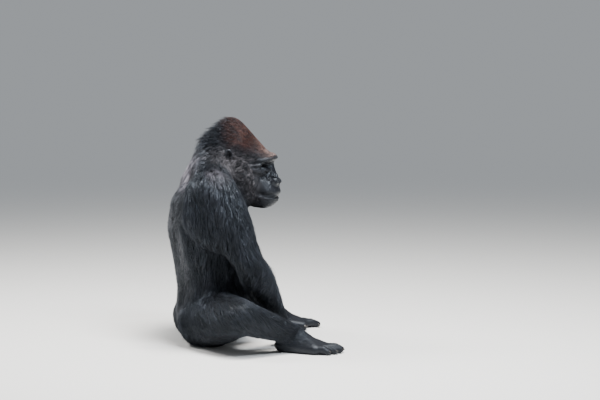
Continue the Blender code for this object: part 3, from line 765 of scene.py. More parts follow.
def spot(tree, place, radii, edge, wobble):
    """A soft-edged patch round a place: a socket that is 1 inside and 0 outside."""
    where = shading(tree, "TexCoord").outputs["Object"]
    shift = shading(tree, "VectorMath", {0: where, 1: tuple(place)}, operation="SUBTRACT")
    stretch = shading(tree, "VectorMath", {0: shift.outputs[0], 1: radii}, operation="DIVIDE")
    reach = shading(tree, "VectorMath", {0: stretch.outputs[0]}, operation="LENGTH")
    rough = shading(tree, "TexNoise", {"Vector": where, "Scale": wobble, "Detail": 3.0})
    frayed = {0: rough.outputs["Fac"], 1: FRAYING, 2: reach.outputs["Value"]}
    blur = shading(tree, "Math", frayed, operation="MULTIPLY_ADD")
    limits = {"Value": blur.outputs[0], "From Min": PATCH_END + edge, "From Max": PATCH_END - edge}
    return shading(tree, "MapRange", limits, interpolation_type="SMOOTHSTEP").outputs["Result"]


def stained(tree, under, colour, amount, most):
    """A colour laid over another where the amount says, no stronger than most."""
    limit = shading(tree, "Math", {0: amount, 1: most}, operation="MULTIPLY")
    layers = {"Factor": limit.outputs[0], "A": under, "B": (*colour, 1)}
    return shading(tree, "Mix", layers, data_type="RGBA").outputs["Result"]


def shoulder_sheen_middle(side):
    """A place just under the top of the upper arm, the middle of the painted sheen there."""
    low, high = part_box("upper_arm_" + side)
    return (low.x + high.x) / 2, low.y + 0.55 * (high.y - low.y), high.z - 0.03


# Loins, nape, mantle, temples, jowls, a painted sheen on both shoulders, crown, forehead
# and brow, each laid over those before: the colour, how strong at most, the middle, the
# half sizes, how soft the edge is and how fine its wobble.
chest_low, chest_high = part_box("chest")
PATCHES = (
    (LOIN_GREY, 0.60, (0.0, chest_high.y - 0.02, chest_low.z + 0.03), (0.17, 0.13, 0.27), 0.45, 14),
    (BROWN_GREY, 0.80, from_head((0.0, -0.090, -0.040)), (0.17, 0.095, 0.080), 0.45, 22),
    (MANTLE_AND_SHEEN_GREY, 0.85, from_head((0.0, -0.205, -0.105)), (0.19, 0.105, 0.095), 0.45, 18),
    (BROWN_GREY, 0.62, from_head((0.0, 0.015, -0.060)), (0.13, 0.095, 0.090), 0.45, 26),
    (BROWN_GREY, 0.48, from_head((0.0, 0.085, -0.130)), (0.12, 0.065, 0.085), 0.45, 30),
    # Painted sheen: pale grey on top of both shoulders, where the light catches the hair.
    (MANTLE_AND_SHEEN_GREY, 0.20, shoulder_sheen_middle("right"), (0.09, 0.05, 0.07), 0.50, 20),
    (MANTLE_AND_SHEEN_GREY, 0.20, shoulder_sheen_middle("left"), (0.09, 0.05, 0.07), 0.50, 20),
    (CHESTNUT, 0.90, from_head((0.0, 0.050, 0.120)), (0.13, 0.105, 0.100), 0.50, 16),
    (TAWNY, 0.75, from_head((0.0, 0.140, 0.045)), (0.09, 0.060, 0.055), 0.50, 24),
    (BROW_GREY, 0.45, from_head((0.0, 0.165, 0.010)), (0.10, 0.040, 0.026), 0.50, 30),
)
markings_and_sheen = bpy.data.node_groups.new("coat markings", "ShaderNodeTree")
markings_and_sheen.interface.new_socket("Colour", in_out="OUTPUT", socket_type="NodeSocketColor")
black = markings_and_sheen.nodes.new("ShaderNodeRGB")
black.outputs[0].default_value = (*BLACK_COAT, 1)
coat_colour = black.outputs[0]
for colour, most, place, radii, edge, wobble in PATCHES:
    patch = spot(markings_and_sheen, place, radii, edge, wobble)
    coat_colour = stained(markings_and_sheen, coat_colour, colour, patch, most)
fed(markings_and_sheen.nodes.new("NodeGroupOutput"), {0: coat_colour})

HIDE_BLACK = (0.0076, 0.0080, 0.0105)
UNDER_COAT = 0.30  # how much of the coat's colour the hide below it has
MUZZLE_SHINE = 0.15
hide, tree, paint = finish("black hide", {
    "Specular IOR Level": 0.27,
    "Specular Tint": (0.80, 0.89, 1.0, 1),
    "Coat Weight": 0.03,
    "Coat Roughness": 0.25,
})
marks = shading(tree, "Group", node_tree=markings_and_sheen)
bare_face = spot(tree, from_head((0.0, 0.180, -0.110)), (0.085, 0.085, 0.125), 0.20, 20)
under_coat = shading(tree, "Math", {0: bare_face, 1: -UNDER_COAT, 2: UNDER_COAT}, operation="MULTIPLY_ADD")
shares = {"Factor": under_coat.outputs[0], "A": (*HIDE_BLACK, 1), "B": marks.outputs[0]}
hide_colour = shading(tree, "Mix", shares, data_type="RGBA")
where = shading(tree, "TexCoord").outputs["Object"]
pores = shading(tree, "TexVoronoi", {"Vector": where, "Scale": 900})
creases = shading(tree, "TexNoise", {"Vector": where, "Scale": 210, "Detail": 6, "Distortion": 0.8})
crease = creases.outputs["Fac"]
relief = shading(tree, "Math", {0: pores.outputs["Distance"], 1: crease}, operation="ADD")
bump = shading(tree, "Bump", {"Height": relief.outputs[0], "Strength": 0.45, "Distance": 0.0006})
dullness = {"Value": crease, "From Min": 0.3, "From Max": 0.7, "To Min": 0.38, "To Max": 0.58}
gloss = shading(tree, "MapRange", dullness)
muzzle = spot(tree, from_head((0.0, 0.190, -0.105)), (0.060, 0.055, 0.078), 0.45, 40)
shine = shading(tree, "Math", {0: muzzle, 1: -MUZZLE_SHINE, 2: gloss.outputs[0]}, operation="MULTIPLY_ADD")
fed(paint, {
    "Base Color": hide_colour.outputs["Result"],
    "Roughness": shine.outputs[0],
    "Normal": bump.outputs[0],
})

mesh.materials.clear()
mesh.materials.append(hide)
mesh.shade_smooth()
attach(skin, "root")
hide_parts(*flesh_names)


# ---- The coat ----------------------------------------------------------------
# Long straight hair over all but the face, ears, palms and soles. It grows from the
# skin in thin pointed locks that lie along the body, overlap like thatch, and gather
# at their tips; each lock is a slim three-sided solid.

# How many locks on the trunk, on each arm and leg and on the head, and in how many rings.
LOCKS = {"trunk": 31500, "arm": 16000, "leg": 9000, "head": 22500}
LOCK_RINGS = {"trunk": 3, "arm": 3, "leg": 3, "head": 2}
REGIONS = {
    "chest": "trunk", "abdomen": "trunk", "neck": "trunk", "head": "head",
    "upper_arm": "arm", "forearm": "arm", "hand": "arm", "thigh": "leg", "shank": "leg", "foot": "leg",
}
chance = np.random.default_rng(11)

mesh.calc_loop_triangles()
corners = rows_of(mesh.loop_triangles, "vertices", 3, np.int32)
points = points_of(mesh)
owner = solid_at(points)
way, size = combed(points, owner)
outward = unit(evened(normals_of(mesh), edges, 5))
hairy = hairiness(points, owner)
field = evened(np.column_stack((way, size)), edges, 10)
way, size = field[:, :3], field[:, 3:5]
way = unit(way - outward * np.sum(way * outward, axis=1, keepdims=True))

triangle = points[corners]
crossing = np.cross(triangle[:, 1] - triangle[:, 0], triangle[:, 2] - triangle[:, 0])
area = np.linalg.norm(crossing, axis=1) / 2
face_way = unit(way[corners].mean(1))
face_out = unit(outward[corners].mean(1))
face_size = size[corners].mean(1)
face_hairy = hairy[corners].mean(1)
face_owner = owner[corners[:, 0]]
skin_tree = BVHTree.FromPolygons([Vector(point) for point in points], corners.tolist(), all_triangles=True)

# Light and dark runs in the coat: chance values drawn out along the way the hair lies.
# The light runs also stand proudest, and their locks are painted paler: partly a painted sheen.
RUN_PASSES, RUN_NARROWNESS = 14, 6
near, far = edges[:, 0], edges[:, 1]
edge_way = unit(points[near] - points[far])
along = np.abs(np.sum(edge_way * unit(way[near] + way[far]), axis=1)) ** RUN_NARROWNESS


def shared(to_near, to_far):
    """What each point of the skin gets over all its edges."""
    return np.bincount(near, to_near, len(points)) + np.bincount(far, to_far, len(points))


weights = shared(along, along) + 1e-6
run = chance.random(len(points))
for _ in range(RUN_PASSES):
    run = 0.4 * run + 0.6 * shared(along * run[far], along * run[near]) / weights
run = np.argsort(np.argsort(run)) / len(run)  # as many dark places as light ones
face_run = run[corners[:, 0]]


def on_skin(places):
    """The nearest place on the skin to each point, and the face it lies on."""
    found = [skin_tree.find_nearest(place) for place in places]
    return np.array([hit[0] for hit in found]), np.array([hit[2] for hit in found])


WAVES = 5


def waves(places, length, seed):
    """A smooth wandering number between about -1 and 1 at each place."""
    rng = np.random.default_rng(seed)
    total = np.zeros(len(places))
    for _ in range(WAVES):
        heading = unit(rng.normal(size=3)) * 2 * math.pi / (length * rng.uniform(0.7, 1.5))
        total += np.sin(places @ heading + rng.uniform(0, 2 * math.pi))
    return total / 2.2


ROOT_CELL = 0.012


def scattered(faces, amount, weight):
    """Evenly strewn roots on some faces of the skin, most where the weight is high.

    The faces are taken cell by cell, so that neighbours in turn lie close together."""
    cell = np.floor((triangle[faces].mean(1) - triangle[faces].min((0, 1))) / ROOT_CELL).astype(int)
    order = np.zeros(len(faces), int)
    for bit in range(8):
        for axis in range(3):
            order |= ((cell[:, axis] >> bit) & 1) << (3 * bit + axis)
    faces_in_turn = np.argsort(order, kind="stable")
    heap = np.cumsum((area[faces] * weight)[faces_in_turn])
    draw = (np.arange(amount) + chance.random(amount)) / amount * heap[-1]
    chosen = faces[faces_in_turn[np.minimum(np.searchsorted(heap, draw), len(faces) - 1)]]
    first, second = chance.random(amount), chance.random(amount)
    flip = first + second > 1
    first, second = np.where(flip, 1 - first, first), np.where(flip, 1 - second, second)
    base, one, two = triangle[chosen].transpose(1, 0, 2)
    return base + (one - base) * first[:, None] + (two - base) * second[:, None], chosen


def standing(places):
    """How far the coat stands up: most on the back of the crest and the nape."""
    crest = np.linalg.norm((in_head(places) - (0.0, -0.080, 0.100)) / (0.12, 0.085, 0.110), axis=1)
    nape = np.linalg.norm((in_head(places) - (0.0, -0.150, -0.030)) / (0.16, 0.08, 0.10), axis=1)
    return 0.08 + 1.15 * (1 - ramp(crest, 0.6, 1.3)) + 0.32 * (1 - ramp(nape, 0.6, 1.3))


ROOT_SUNK = 0.0012
LOWEST_TIP = 0.002
TALL_SHARE, STRAY_SHARE = 0.20, 0.06  # of all locks: those that stand up or stray


def grown_locks(place, face, rings):
    """The spine of each lock, ring by ring to its tip, and the way that faces out along it."""
    amount = len(place)
    up_standing = standing(place)
    tall = (chance.random(amount) < TALL_SHARE) * np.clip(up_standing - 0.2, 0, 1) * 0.5
    length = face_size[face, 0] * (chance.uniform(0.80, 1.32, amount) + tall)
    depth = face_size[face, 1] * (chance.uniform(0.20, 0.66, amount) + 0.38 * face_run[face])
    stray = (chance.random(amount) < STRAY_SHARE) * chance.uniform(0.1, 0.5, amount)
    spine = [place - face_out[face] * ROOT_SUNK]
    outs = [face_out[face]]
    lift = up_standing * chance.uniform(0.3, 1.0, amount) + tall
    lean = 0.16 * waves(place, 0.06, 3) + 0.10 * waves(place, 0.022, 4) + chance.normal(0, 0.07, amount)
    here = place
    step = length / rings
    for ring in range(1, rings + 1):
        side = np.cross(face_way[face], face_out[face])
        heading = unit(face_way[face] + side * lean[:, None])
        lifted = unit(heading + face_out[face] * (lift * (1.15 - 0.5 * ring / rings))[:, None])
        ahead = here + heading * step[:, None]
        here, face = on_skin(ahead)
        rise = 1 - (1 - ring / rings) ** 1.7
        hugging = here + face_out[face] * (depth * rise)[:, None]
        straight = spine[-1] + lifted * step[:, None]
        loose = np.clip(0.28 * (ring > 1) + lift * 1.4, 0, 0.9)[:, None]
        tip = hugging * (1 - loose) + straight * loose
        tip += face_out[face] * (stray * length * 0.25 * ring / rings)[:, None]
        tip[:, 2] = np.maximum(tip[:, 2], LOWEST_TIP)
        spine.append(tip)
        outs.append(face_out[face])
    return np.array(spine).transpose(1, 0, 2), np.array(outs).transpose(1, 0, 2), length


def gathered(spine, every, pull):
    """Locks drawn together towards their tips in small bunches, and the bunch of each."""
    leaders = np.arange(0, len(spine), every)
    tree = KDTree(len(leaders))
    for number, leader in enumerate(leaders):
        tree.insert(spine[leader, 0], number)
    tree.balance()
    bunch = np.array([tree.find(root)[1] for root in spine[:, 0]])
    nearest = leaders[bunch]
    rings = spine.shape[1] - 1
    strength = pull * chance.uniform(0.35, 1.0, len(spine))
    for ring in range(1, rings + 1):
        share = strength * (ring / rings) ** 1.4
        spine[:, ring] += (spine[nearest, ring] - spine[:, ring]) * share[:, None]
    return spine, bunch


MAP_PATCH = 0.0015  # half the room that one lock has on the coat's map


def lock_mesh(name, spine, outs, width, root_map, tones_and_sheen):
    """One closed three-sided blade round each spine, with its patch of the coat's map."""
    amount, stations = spine.shape[:2]
    rings = stations - 1
    along = unit(np.gradient(spine, axis=1))
    across = unit(np.cross(along, outs))
    ridge = np.cross(across, along)
    profile = np.interp(np.arange(rings) / rings, (0, 0.3, 0.65, 1), (0.75, 1.0, 0.75, 0.1))
    half = width[:, None] * profile[None] / 2
    spot_left = spine[:, :rings] - across[:, :rings] * half[..., None]
    spot_right = spine[:, :rings] + across[:, :rings] * half[..., None]
    spot_top = spine[:, :rings] + ridge[:, :rings] * (half * 0.75)[..., None]
    body = np.stack((spot_left, spot_right, spot_top), axis=2).reshape(amount, rings * 3, 3)
    verts = np.concatenate((body, spine[:, -1:]), axis=1)
    per_lock = rings * 3 + 1
    pattern = [(0, 2, 1)]
    for ring in range(rings - 1):
        low, high = ring * 3, ring * 3 + 3
        for corner in range(3):
            after = (corner + 1) % 3
            pattern.append((low + corner, low + after, high + after))
            pattern.append((low + corner, high + after, high + corner))
    low, tip = (rings - 1) * 3, rings * 3
    pattern += [(low + corner, low + (corner + 1) % 3, tip) for corner in range(3)]
    pattern = np.array(pattern)
    faces = (pattern[None] + (np.arange(amount) * per_lock)[:, None, None]).reshape(-1, 3)
    coat = bpy.data.meshes.new(name)
    coat.vertices.add(amount * per_lock)
    coat.vertices.foreach_set("co", verts.astype(np.float32).ravel())
    coat.loops.add(len(faces) * 3)
    coat.loops.foreach_set("vertex_index", faces.astype(np.int32).ravel())
    coat.polygons.add(len(faces))
    coat.polygons.foreach_set("loop_start", np.arange(0, len(faces) * 3, 3, dtype=np.int32))
    coat.polygons.foreach_set("use_smooth", np.ones(len(faces), bool))
    coat.update(calc_edges=True)
    share = np.append(np.repeat(np.arange(rings) / rings, 3), 1.0)
    sideways = np.append(np.tile((-1.0, 1.0, 0.0), rings), 0.0)
    patch = np.stack((sideways, share * 2 - 1), axis=1) * MAP_PATCH
    flat = (root_map[:, None] + patch[None]).reshape(-1, 2)
    unwrap = coat.uv_layers.new(name="OFBake")
    unwrap.data.foreach_set("uv", flat[faces.ravel()].astype(np.float32).ravel())
    # The tone is partly the lock's own and partly painted sheen.
    for title, values in (
        ("lock_tone", np.repeat(tones_and_sheen, per_lock)),
        ("lock_reach", np.tile(share, amount)),
        ("lock_breadth", np.tile(sideways, amount)),
    ):
        coat.attributes.new(title, "FLOAT", "POINT").data.foreach_set("value", values.astype(np.float32))
    return coat


# The skin's own unwrap, on a coarse copy: where each lock's root falls on it.
PATTERN_FACES = 9000
pattern_skin = placed("pattern", mesh.copy())
thin = pattern_skin.modifiers.new("thin", "DECIMATE")
thin.ratio = PATTERN_FACES / len(corners)
settled(pattern_skin)
bpy.context.view_layer.objects.active = pattern_skin
pattern_skin.select_set(True)
bpy.ops.object.mode_set(mode="EDIT")
bpy.ops.mesh.select_all(action="SELECT")
bpy.ops.uv.smart_project(angle_limit=math.radians(66), island_margin=0.004)
bpy.ops.object.mode_set(mode="OBJECT")
pattern_mesh = pattern_skin.data
pattern_mesh.calc_loop_triangles()
pattern_corners = rows_of(pattern_mesh.loop_triangles, "vertices", 3, np.int32)
pattern_loops = rows_of(pattern_mesh.loop_triangles, "loops", 3, np.int32)
pattern_flat = rows_of(pattern_mesh.uv_layers.active.data, "uv", 2)[pattern_loops]
pattern_points = points_of(pattern_mesh)[pattern_corners]
pattern_tree = BVHTree.FromPolygons(
    [Vector(point) for point in points_of(pattern_mesh)], pattern_corners.tolist(), all_triangles=True
)
bpy.data.objects.remove(pattern_skin)


def mapped(places):
    """Where each place falls on the skin's unwrap."""
    found = [pattern_tree.find_nearest(place) for place in places]
    face = np.array([hit[2] for hit in found])
    spot_at = np.array([hit[0] for hit in found])
    first, second, third = pattern_points[face].transpose(1, 0, 2)
    one, two, arm = second - first, third - first, spot_at - first
    one_one, one_two, two_two = (one * one).sum(1), (one * two).sum(1), (two * two).sum(1)
    arm_one, arm_two = (arm * one).sum(1), (arm * two).sum(1)
    size = np.maximum(one_one * two_two - one_two * one_two, 1e-18)
    to_second = (two_two * arm_one - one_two * arm_two) / size
    to_third = (one_one * arm_two - one_two * arm_one) / size
    shares = np.stack((1 - to_second - to_third, to_second, to_third), axis=1)
    return np.clip((pattern_flat[face] * shares[..., None]).sum(1), 0.002, 0.998)


# Dark straight hair: a grey-blue sheen on black, paler towards the tips, each lock
# with its own tone, partly a painted sheen that is palest on the proud runs, and split into strands.
hair, tree, paint = finish("long black hair", {
    "Roughness": 0.37,
    "Specular IOR Level": 0.60,
    "Specular Tint": (0.72, 0.84, 1.0, 1),
})
marks = shading(tree, "Group", node_tree=markings_and_sheen)
tone_and_sheen = shading(tree, "Attribute", attribute_name="lock_tone").outputs["Fac"]
reach = shading(tree, "Attribute", attribute_name="lock_reach").outputs["Fac"]
breadth = shading(tree, "Attribute", attribute_name="lock_breadth").outputs["Fac"]
# How pale each lock is: partly its own tone, partly a painted sheen, strongest on the proud runs.
painted_sheen_and_tone = shading(tree, "MapRange", {"Value": tone_and_sheen, "To Min": 0.05, "To Max": 4.60})
fade = shading(tree, "MapRange", {"Value": reach, "To Min": 0.40, "To Max": 1.55})
strength = shading(tree, "Math", {0: painted_sheen_and_tone.outputs[0], 1: fade.outputs[0]}, operation="MULTIPLY")
dye = shading(tree, "VectorMath", {0: marks.outputs[0], "Scale": strength.outputs[0]}, operation="SCALE")
many = shading(tree, "Math", {0: tone_and_sheen, 1: 400.0}, operation="MULTIPLY")
strand_place = shading(tree, "CombineXYZ", {"X": breadth, "Y": reach, "Z": many.outputs[0]})
strands = shading(tree, "TexNoise", {"Vector": strand_place.outputs[0], "Scale": 3.2, "Detail": 2.0})
strand = strands.outputs["Fac"]
split = shading(tree, "Bump", {"Height": strand, "Strength": 0.7, "Distance": 0.0007})
evenness = {"Value": strand, "From Min": 0.3, "From Max": 0.7, "To Min": 0.5, "To Max": 1.5}
strand_light = shading(tree, "MapRange", evenness)
streaks = {0: dye.outputs[0], "Scale": strand_light.outputs[0]}
streaked = shading(tree, "VectorMath", streaks, operation="SCALE")
fed(paint, {"Base Color": streaked.outputs[0], "Normal": split.outputs[0]})

# The short hair of the head is the same, and duller.
short_hair = hair.copy()
short_hair.name = "short dull hair"
paint = short_hair.node_tree.nodes["Principled BSDF"]
paint.inputs["Roughness"].default_value = 0.46
paint.inputs["Specular IOR Level"].default_value = 0.32

# Each limb has its own pieces. Short hair stands closer, closest on the hands and feet.
MOST_TRIANGLES = 190000
LOCKS_PER_BUNCH, BUNCH_PULL = 9, 0.55
LOCK_WIDTH, WIDTH_BY_LENGTH = 0.0008, 0.027
HAIR_BEGINS = 0.25
PAW_CLOSENESS = 2.2
paws = [solid[limb + "_" + side] for limb in ("hand", "foot") for side in SIDE]
solid_region = []
for name in flesh_names:
    region = REGIONS.get(kind_of(name), "")
    sided = region in ("arm", "leg")
    solid_region.append(region + name[name.rindex("_"):] if sided else region)
solid_region = np.array(solid_region)
for region_name in sorted(set(solid_region) - {""}):
    region = region_name.split("_")[0]
    faces = np.flatnonzero((solid_region[face_owner] == region_name) & (face_hairy > HAIR_BEGINS))
    shortness = (0.060 / np.maximum(face_size[faces, 0], 0.012)) ** 0.7
    shortness *= np.where(np.isin(face_owner[faces], paws), PAW_CLOSENESS, 1.0)
    place, face = scattered(faces, LOCKS[region], shortness * face_hairy[faces])
    rings = LOCK_RINGS[region]
    spine, outs, length = grown_locks(place, face, rings)
    spine, bunch = gathered(spine, LOCKS_PER_BUNCH, BUNCH_PULL)
    bunch_tone = chance.random(bunch.max() + 1)[bunch]
    # Each lock's tone mixes its run, its bunch and its own chance; the run's share is painted sheen,
    # palest where the run stands proud.
    run_part, bunch_part = (0.30, 0.30) if region == "head" else (0.50, 0.28)
    own_tone = chance.random(len(spine))
    rest = 1 - run_part - bunch_part
    tones_and_sheen = (run_part * face_run[face] + bunch_part * bunch_tone + rest * own_tone) ** 2
    width = (LOCK_WIDTH + WIDTH_BY_LENGTH * length) * chance.uniform(0.75, 1.25, len(length))
    root_map = mapped(place)
    lock_triangles = 6 * rings - 2
    pieces = math.ceil(len(spine) / (MOST_TRIANGLES // lock_triangles))
    from_the_top = np.argsort(-place[:, 2])
    for number, part in enumerate(np.array_split(from_the_top, pieces)):
        name = "coat_" + region_name + ("" if pieces == 1 else "_" + str(number + 1))
        blades = lock_mesh(name, spine[part], outs[part], width[part], root_map[part], tones_and_sheen[part])
        coat = placed(name, blades)
        coat.data.materials.append(short_hair if region == "head" else hair)
        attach(coat, "root")


# ---- The eyes ----------------------------------------------------------------
# Dark brown eyes, wet and glossy: a ball with brown white, a broad iris and a round
# pupil, under a clear bulging front. They sit behind the lids and look ahead.

IRIS_HALF = 0.0058
PUPIL_HALF = 0.0023
BULGE, BULGE_HALF = 0.0009, IRIS_HALF * 1.15
LOOKS_DOWN = math.radians(4)
RINGS_END = 0.012  # where the colours that run out from the pupil end
PUPIL_BLACK = (0.001, 0.001, 0.001)
wet, tree, paint = finish("dark brown eye", {
    "Roughness": 0.06,
    "Coat Weight": 0.5,
    "Coat Roughness": 0.02,
    "Specular IOR Level": 0.4,
})
where = shading(tree, "TexCoord").outputs["Object"]
flat = shading(tree, "VectorMath", {0: where, 1: (1.0, 0.0, 1.0)}, operation="MULTIPLY")
reach = shading(tree, "VectorMath", {0: flat.outputs[0]}, operation="LENGTH")
scale = shading(tree, "Math", {0: reach.outputs["Value"], 1: RINGS_END}, operation="DIVIDE")
rings = shading(tree, "ValToRGB", {"Fac": scale.outputs[0]})
stops = rings.color_ramp.elements
stops[0].position = 0.0
stops[0].color = (*PUPIL_BLACK, 1)
stops[1].position = 1.0
stops[1].color = (0.060, 0.040, 0.030, 1)
for place, colour in (
    (PUPIL_HALF / RINGS_END - 0.01, PUPIL_BLACK),
    (PUPIL_HALF / RINGS_END + 0.01, (0.060, 0.020, 0.006)),
    (IRIS_HALF / RINGS_END - 0.06, (0.105, 0.038, 0.011)),
    (IRIS_HALF / RINGS_END, (0.012, 0.006, 0.004)),
    (IRIS_HALF / RINGS_END + 0.05, (0.075, 0.050, 0.038)),
):
    stop = stops.new(place)
    stop.color = (*colour, 1)
fibres = shading(tree, "TexNoise", {"Vector": where, "Scale": 900, "Detail": 4})
layers = {"Factor": 0.5, "A": rings.outputs["Color"], "B": fibres.outputs["Fac"]}
mottle = shading(tree, "Mix", layers, data_type="RGBA", blend_type="MULTIPLY")
fed(paint, {"Base Color": mottle.outputs["Result"]})

for side in SIDE:
    shape = bmesh.new()
    bmesh.ops.create_uvsphere(shape, u_segments=48, v_segments=32, radius=EYE_RADIUS)
    for vert in shape.verts:
        vert.co = Vector((vert.co.x, -vert.co.z, vert.co.y))
        middle = max(0.0, 1 - math.hypot(vert.co.x, vert.co.z) / BULGE_HALF)
        if vert.co.y < 0:
            vert.co.y -= BULGE * middle ** 0.8
    ball_mesh = bpy.data.meshes.new("eye_" + side)
    shape.to_mesh(ball_mesh)
    shape.free()
    ball_mesh.shade_smooth()
    ball_mesh.materials.append(wet)
    ball = placed("eyeball_" + side, ball_mesh)
    ball.location = eye_place[side]
    turned = math.atan2(head_forward.y, head_forward.x) + math.pi / 2
    ball.rotation_euler = (LOOKS_DOWN, 0, turned)
    bpy.context.view_layer.update()
    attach(ball, "root")
    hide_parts("eye_" + side)


# ---- The nails ---------------------------------------------------------------
# Flat black horn nails, one on every finger and toe: thin plates bent over the tip,
# their root under the skin. The fingers are curled under, so theirs face back.

# Each nail: (out, forward, up) in the hand's or foot's own frame, the way it faces,
# the way it grows, its width and length.
TOE_FACES, TOE_GROWS = (0.0, 0.50, 0.86), (0.0, 0.86, -0.50)
TIP_FACES, TIP_GROWS = (0.0, -0.66, -0.75), (0.0, -0.75, 0.66)
NAILS = {
    "foot": (
        ((-0.022, 0.224, 0.018), TOE_FACES, TOE_GROWS, 0.0135, 0.0130),
        ((0.012, 0.222, 0.018), TOE_FACES, TOE_GROWS, 0.0135, 0.0130),
        ((0.045, 0.204, 0.018), TOE_FACES, TOE_GROWS, 0.0130, 0.0125),
        ((0.072, 0.176, 0.018), TOE_FACES, TOE_GROWS, 0.0120, 0.0115),
        ((-0.088, 0.132, 0.024), (-0.30, 0.35, 0.89), (-0.45, 0.80, -0.35), 0.0190, 0.0165),
    ),
    "hand": (
        ((-0.040, 0.030, 0.027), TIP_FACES, TIP_GROWS, 0.0130, 0.0120),
        ((-0.013, 0.034, 0.027), TIP_FACES, TIP_GROWS, 0.0135, 0.0125),
        ((0.0135, 0.032, 0.027), TIP_FACES, TIP_GROWS, 0.0135, 0.0125),
        ((0.039, 0.028, 0.027), TIP_FACES, TIP_GROWS, 0.0120, 0.0110),
        ((-0.064, 0.036, 0.040), (-0.60, 0.75, 0.20), (0.0, 0.40, -0.90), 0.0140, 0.0135),
    ),
}
NAIL_THICKNESS = 0.0013
NAIL_PROUD = 0.0018
NAIL_STEPS = 8
NAIL_BEND = 0.80

horn, tree, paint = finish("black horn", {"Specular IOR Level": 0.5})
where = shading(tree, "TexCoord").outputs["Object"]
fine = {"Vector": where, "Scale": 320, "Detail": 5, "Distortion": 0.4}
grain = shading(tree, "TexNoise", fine).outputs["Fac"]
shade = shading(tree, "ValToRGB", {"Fac": grain})
dark, pale = shade.color_ramp.elements
dark.position = 0.30
dark.color = (0.012, 0.011, 0.011, 1)
pale.position = 0.75
pale.color = (0.050, 0.044, 0.040, 1)
worn = shading(tree, "MapRange", {"Value": grain, "To Min": 0.28, "To Max": 0.55})
ridges = shading(tree, "Bump", {"Height": grain, "Strength": 0.4, "Distance": 0.0004})
fed(paint, {
    "Base Color": shade.outputs["Color"],
    "Roughness": worn.outputs[0],
    "Normal": ridges.outputs[0],
})


def nail_plate(width, length):
    """A thin plate bent round the tip: x across, y along, z out of the skin."""
    shape = bmesh.new()
    grid = []
    for row in range(NAIL_STEPS + 1):
        along = row / NAIL_STEPS
        line = []
        for column in range(NAIL_STEPS + 1):
            across = column / NAIL_STEPS * 2 - 1
            half = width / 2 * (1 - 0.10 * (1 - along) - 0.35 * max(0.0, along - 0.75) ** 2 * 16)
            x = math.sin(across * NAIL_BEND) / math.sin(NAIL_BEND) * half
            drop = (1 - math.cos(across * NAIL_BEND)) * half * 0.80
            y = (along - 0.5) * length - 0.10 * length * across * across * (along * 2 - 1)
            z = -drop - (y / 0.0115) ** 2 * 0.0018 - 0.0014 * (1 - along) ** 3
            line.append(shape.verts.new((x, y, z)))
        grid.append(line)
    for low, high in zip(grid, grid[1:]):
        for number in range(NAIL_STEPS):
            shape.faces.new((low[number], low[number + 1], high[number + 1], high[number]))
    shape.normal_update()
    bmesh.ops.solidify(shape, geom=shape.faces[:], thickness=NAIL_THICKNESS)
    return shape


skin_shape = surface(points_of(mesh))
for name in STANDS:
    limb, side = name.split("_")
    stand, axes = stand_of(name)
    plates = bmesh.new()
    for place, faces, grows, width, length in NAILS[limb]:
        spot_at, normal, _, _ = skin_shape.find_nearest(stand + axes @ Vector(place))
        normal = (normal + (axes @ Vector(faces)).normalized()).normalized()
        along = axes @ Vector(grows)
        along = (along - normal * along.dot(normal)).normalized()
        plate = nail_plate(width, length)
        pose = Matrix((along.cross(normal), along, normal)).transposed().to_4x4()
        pose.translation = spot_at + normal * NAIL_PROUD
        plate.transform(pose)
        take_in(plates, plate)
    for vert in plates.verts:
        vert.co.z = max(vert.co.z, 0.0004)
    nail_mesh = bpy.data.meshes.new("nails_" + name)
    bmesh.ops.recalc_face_normals(plates, faces=plates.faces)
    plates.to_mesh(nail_mesh)
    plates.free()
    nail_mesh.shade_smooth()
    nail_mesh.materials.append(horn)
    nails = placed("nails_" + name, nail_mesh)
    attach(nails, "root")


# ---- The floor, the light and the camera ------------------------------------
# A plain pale floor that fades out far from the animal, three soft lamps as in a
# studio, and a camera a little above the animal and a little behind its right side.

FLOOR_SIDE = 60.0
FADE_START, FADE_END = 1.6, 9.0
floor_mesh = bpy.data.meshes.new("floor")
shape = bmesh.new()
bmesh.ops.create_grid(shape, x_segments=1, y_segments=1, size=FLOOR_SIDE / 2)
shape.to_mesh(floor_mesh)
shape.free()
floor = placed("floor", floor_mesh)
pale, tree, paint = finish("pale floor", {
    "Base Color": (0.76, 0.75, 0.73, 1),
    "Roughness": 0.85,
    "Specular IOR Level": 0.2,
})
where = shading(tree, "TexCoord").outputs["Object"]
reach = shading(tree, "VectorMath", {0: where}, operation="LENGTH")
away = {"Value": reach.outputs["Value"], "From Min": FADE_START, "From Max": FADE_END}
fade = shading(tree, "MapRange", away, interpolation_type="SMOOTHSTEP")
clear = shading(tree, "BsdfTransparent")
mix = shading(tree, "MixShader", {"Fac": fade.outputs[0], 1: paint.outputs[0], 2: clear.outputs[0]})
fed(tree.nodes["Material Output"], {"Surface": mix.outputs[0]})
floor.data.materials.append(pale)

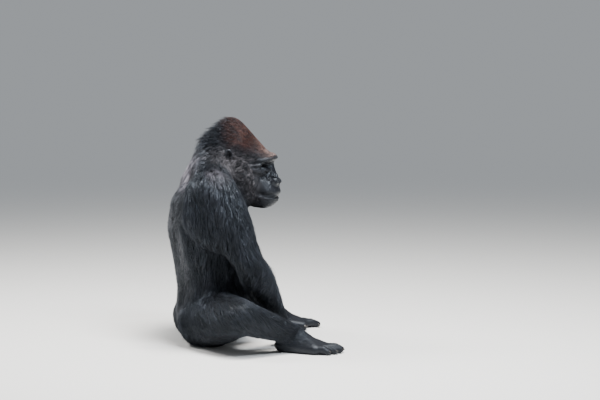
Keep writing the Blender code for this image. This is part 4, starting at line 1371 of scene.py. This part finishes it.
sky = bpy.data.worlds.new("studio")
sky.use_nodes = True
sky.node_tree.nodes["Background"].inputs["Color"].default_value = (0.90, 0.95, 1.0, 1)
sky.node_tree.nodes["Background"].inputs["Strength"].default_value = 0.38
bpy.context.scene.world = sky


def soft_lamp(name, place, aim, width, power, tint):
    """A square lamp that looks from its place at the aim."""
    light = bpy.data.lights.new(name, "AREA")
    light.shape = "RECTANGLE"
    light.size = width
    light.size_y = width
    light.energy = power
    light.color = tint
    lamp = bpy.data.objects.new(name, light)
    bpy.context.scene.collection.objects.link(lamp)
    lamp.location = place
    lamp.rotation_euler = (Vector(aim) - Vector(place)).to_track_quat("-Z", "Y").to_euler()


BREAST = (0.0, 0.1, 0.6)
soft_lamp("overhead", (-1.0, -0.3, 4.4), BREAST, 1.6, 480, (1.0, 0.98, 0.95))
soft_lamp("front", (-3.0, -1.2, 4.0), BREAST, 1.3, 240, (0.88, 0.94, 1.0))
soft_lamp("rim", (1.0, 2.6, 3.4), BREAST, 1.2, 130, (1.0, 0.99, 0.97))

PICTURE_WIDTH = 2.79  # how much the camera takes in, in metres, at the animal
CAMERA_BEHIND, CAMERA_RAISED = math.radians(9), math.radians(6)
CAMERA_REACH = 12.0
MIDDLE_RIGHT, MIDDLE_UP = 0.618, 0.665  # the picture's middle, from under the back's edge
back_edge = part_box("chest")[1].y
seat_point = Vector((0, back_edge, 0))
towards = Vector((
    -math.cos(CAMERA_BEHIND) * math.cos(CAMERA_RAISED),
    math.sin(CAMERA_BEHIND) * math.cos(CAMERA_RAISED),
    math.sin(CAMERA_RAISED),
))
picture_right = (-towards).cross(Vector((0, 0, 1))).normalized()
picture_up = picture_right.cross(-towards)
aim = seat_point + picture_right * MIDDLE_RIGHT + picture_up * MIDDLE_UP
lens = bpy.data.cameras.new("camera")
lens.sensor_width = 36.0
lens.lens = lens.sensor_width * CAMERA_REACH / PICTURE_WIDTH
lens.clip_end = 200
camera = bpy.data.objects.new("camera", lens)
bpy.context.scene.collection.objects.link(camera)
camera.location = aim + towards * CAMERA_REACH
camera.rotation_euler = (-towards).to_track_quat("-Z", "Y").to_euler()
bpy.context.scene.camera = camera
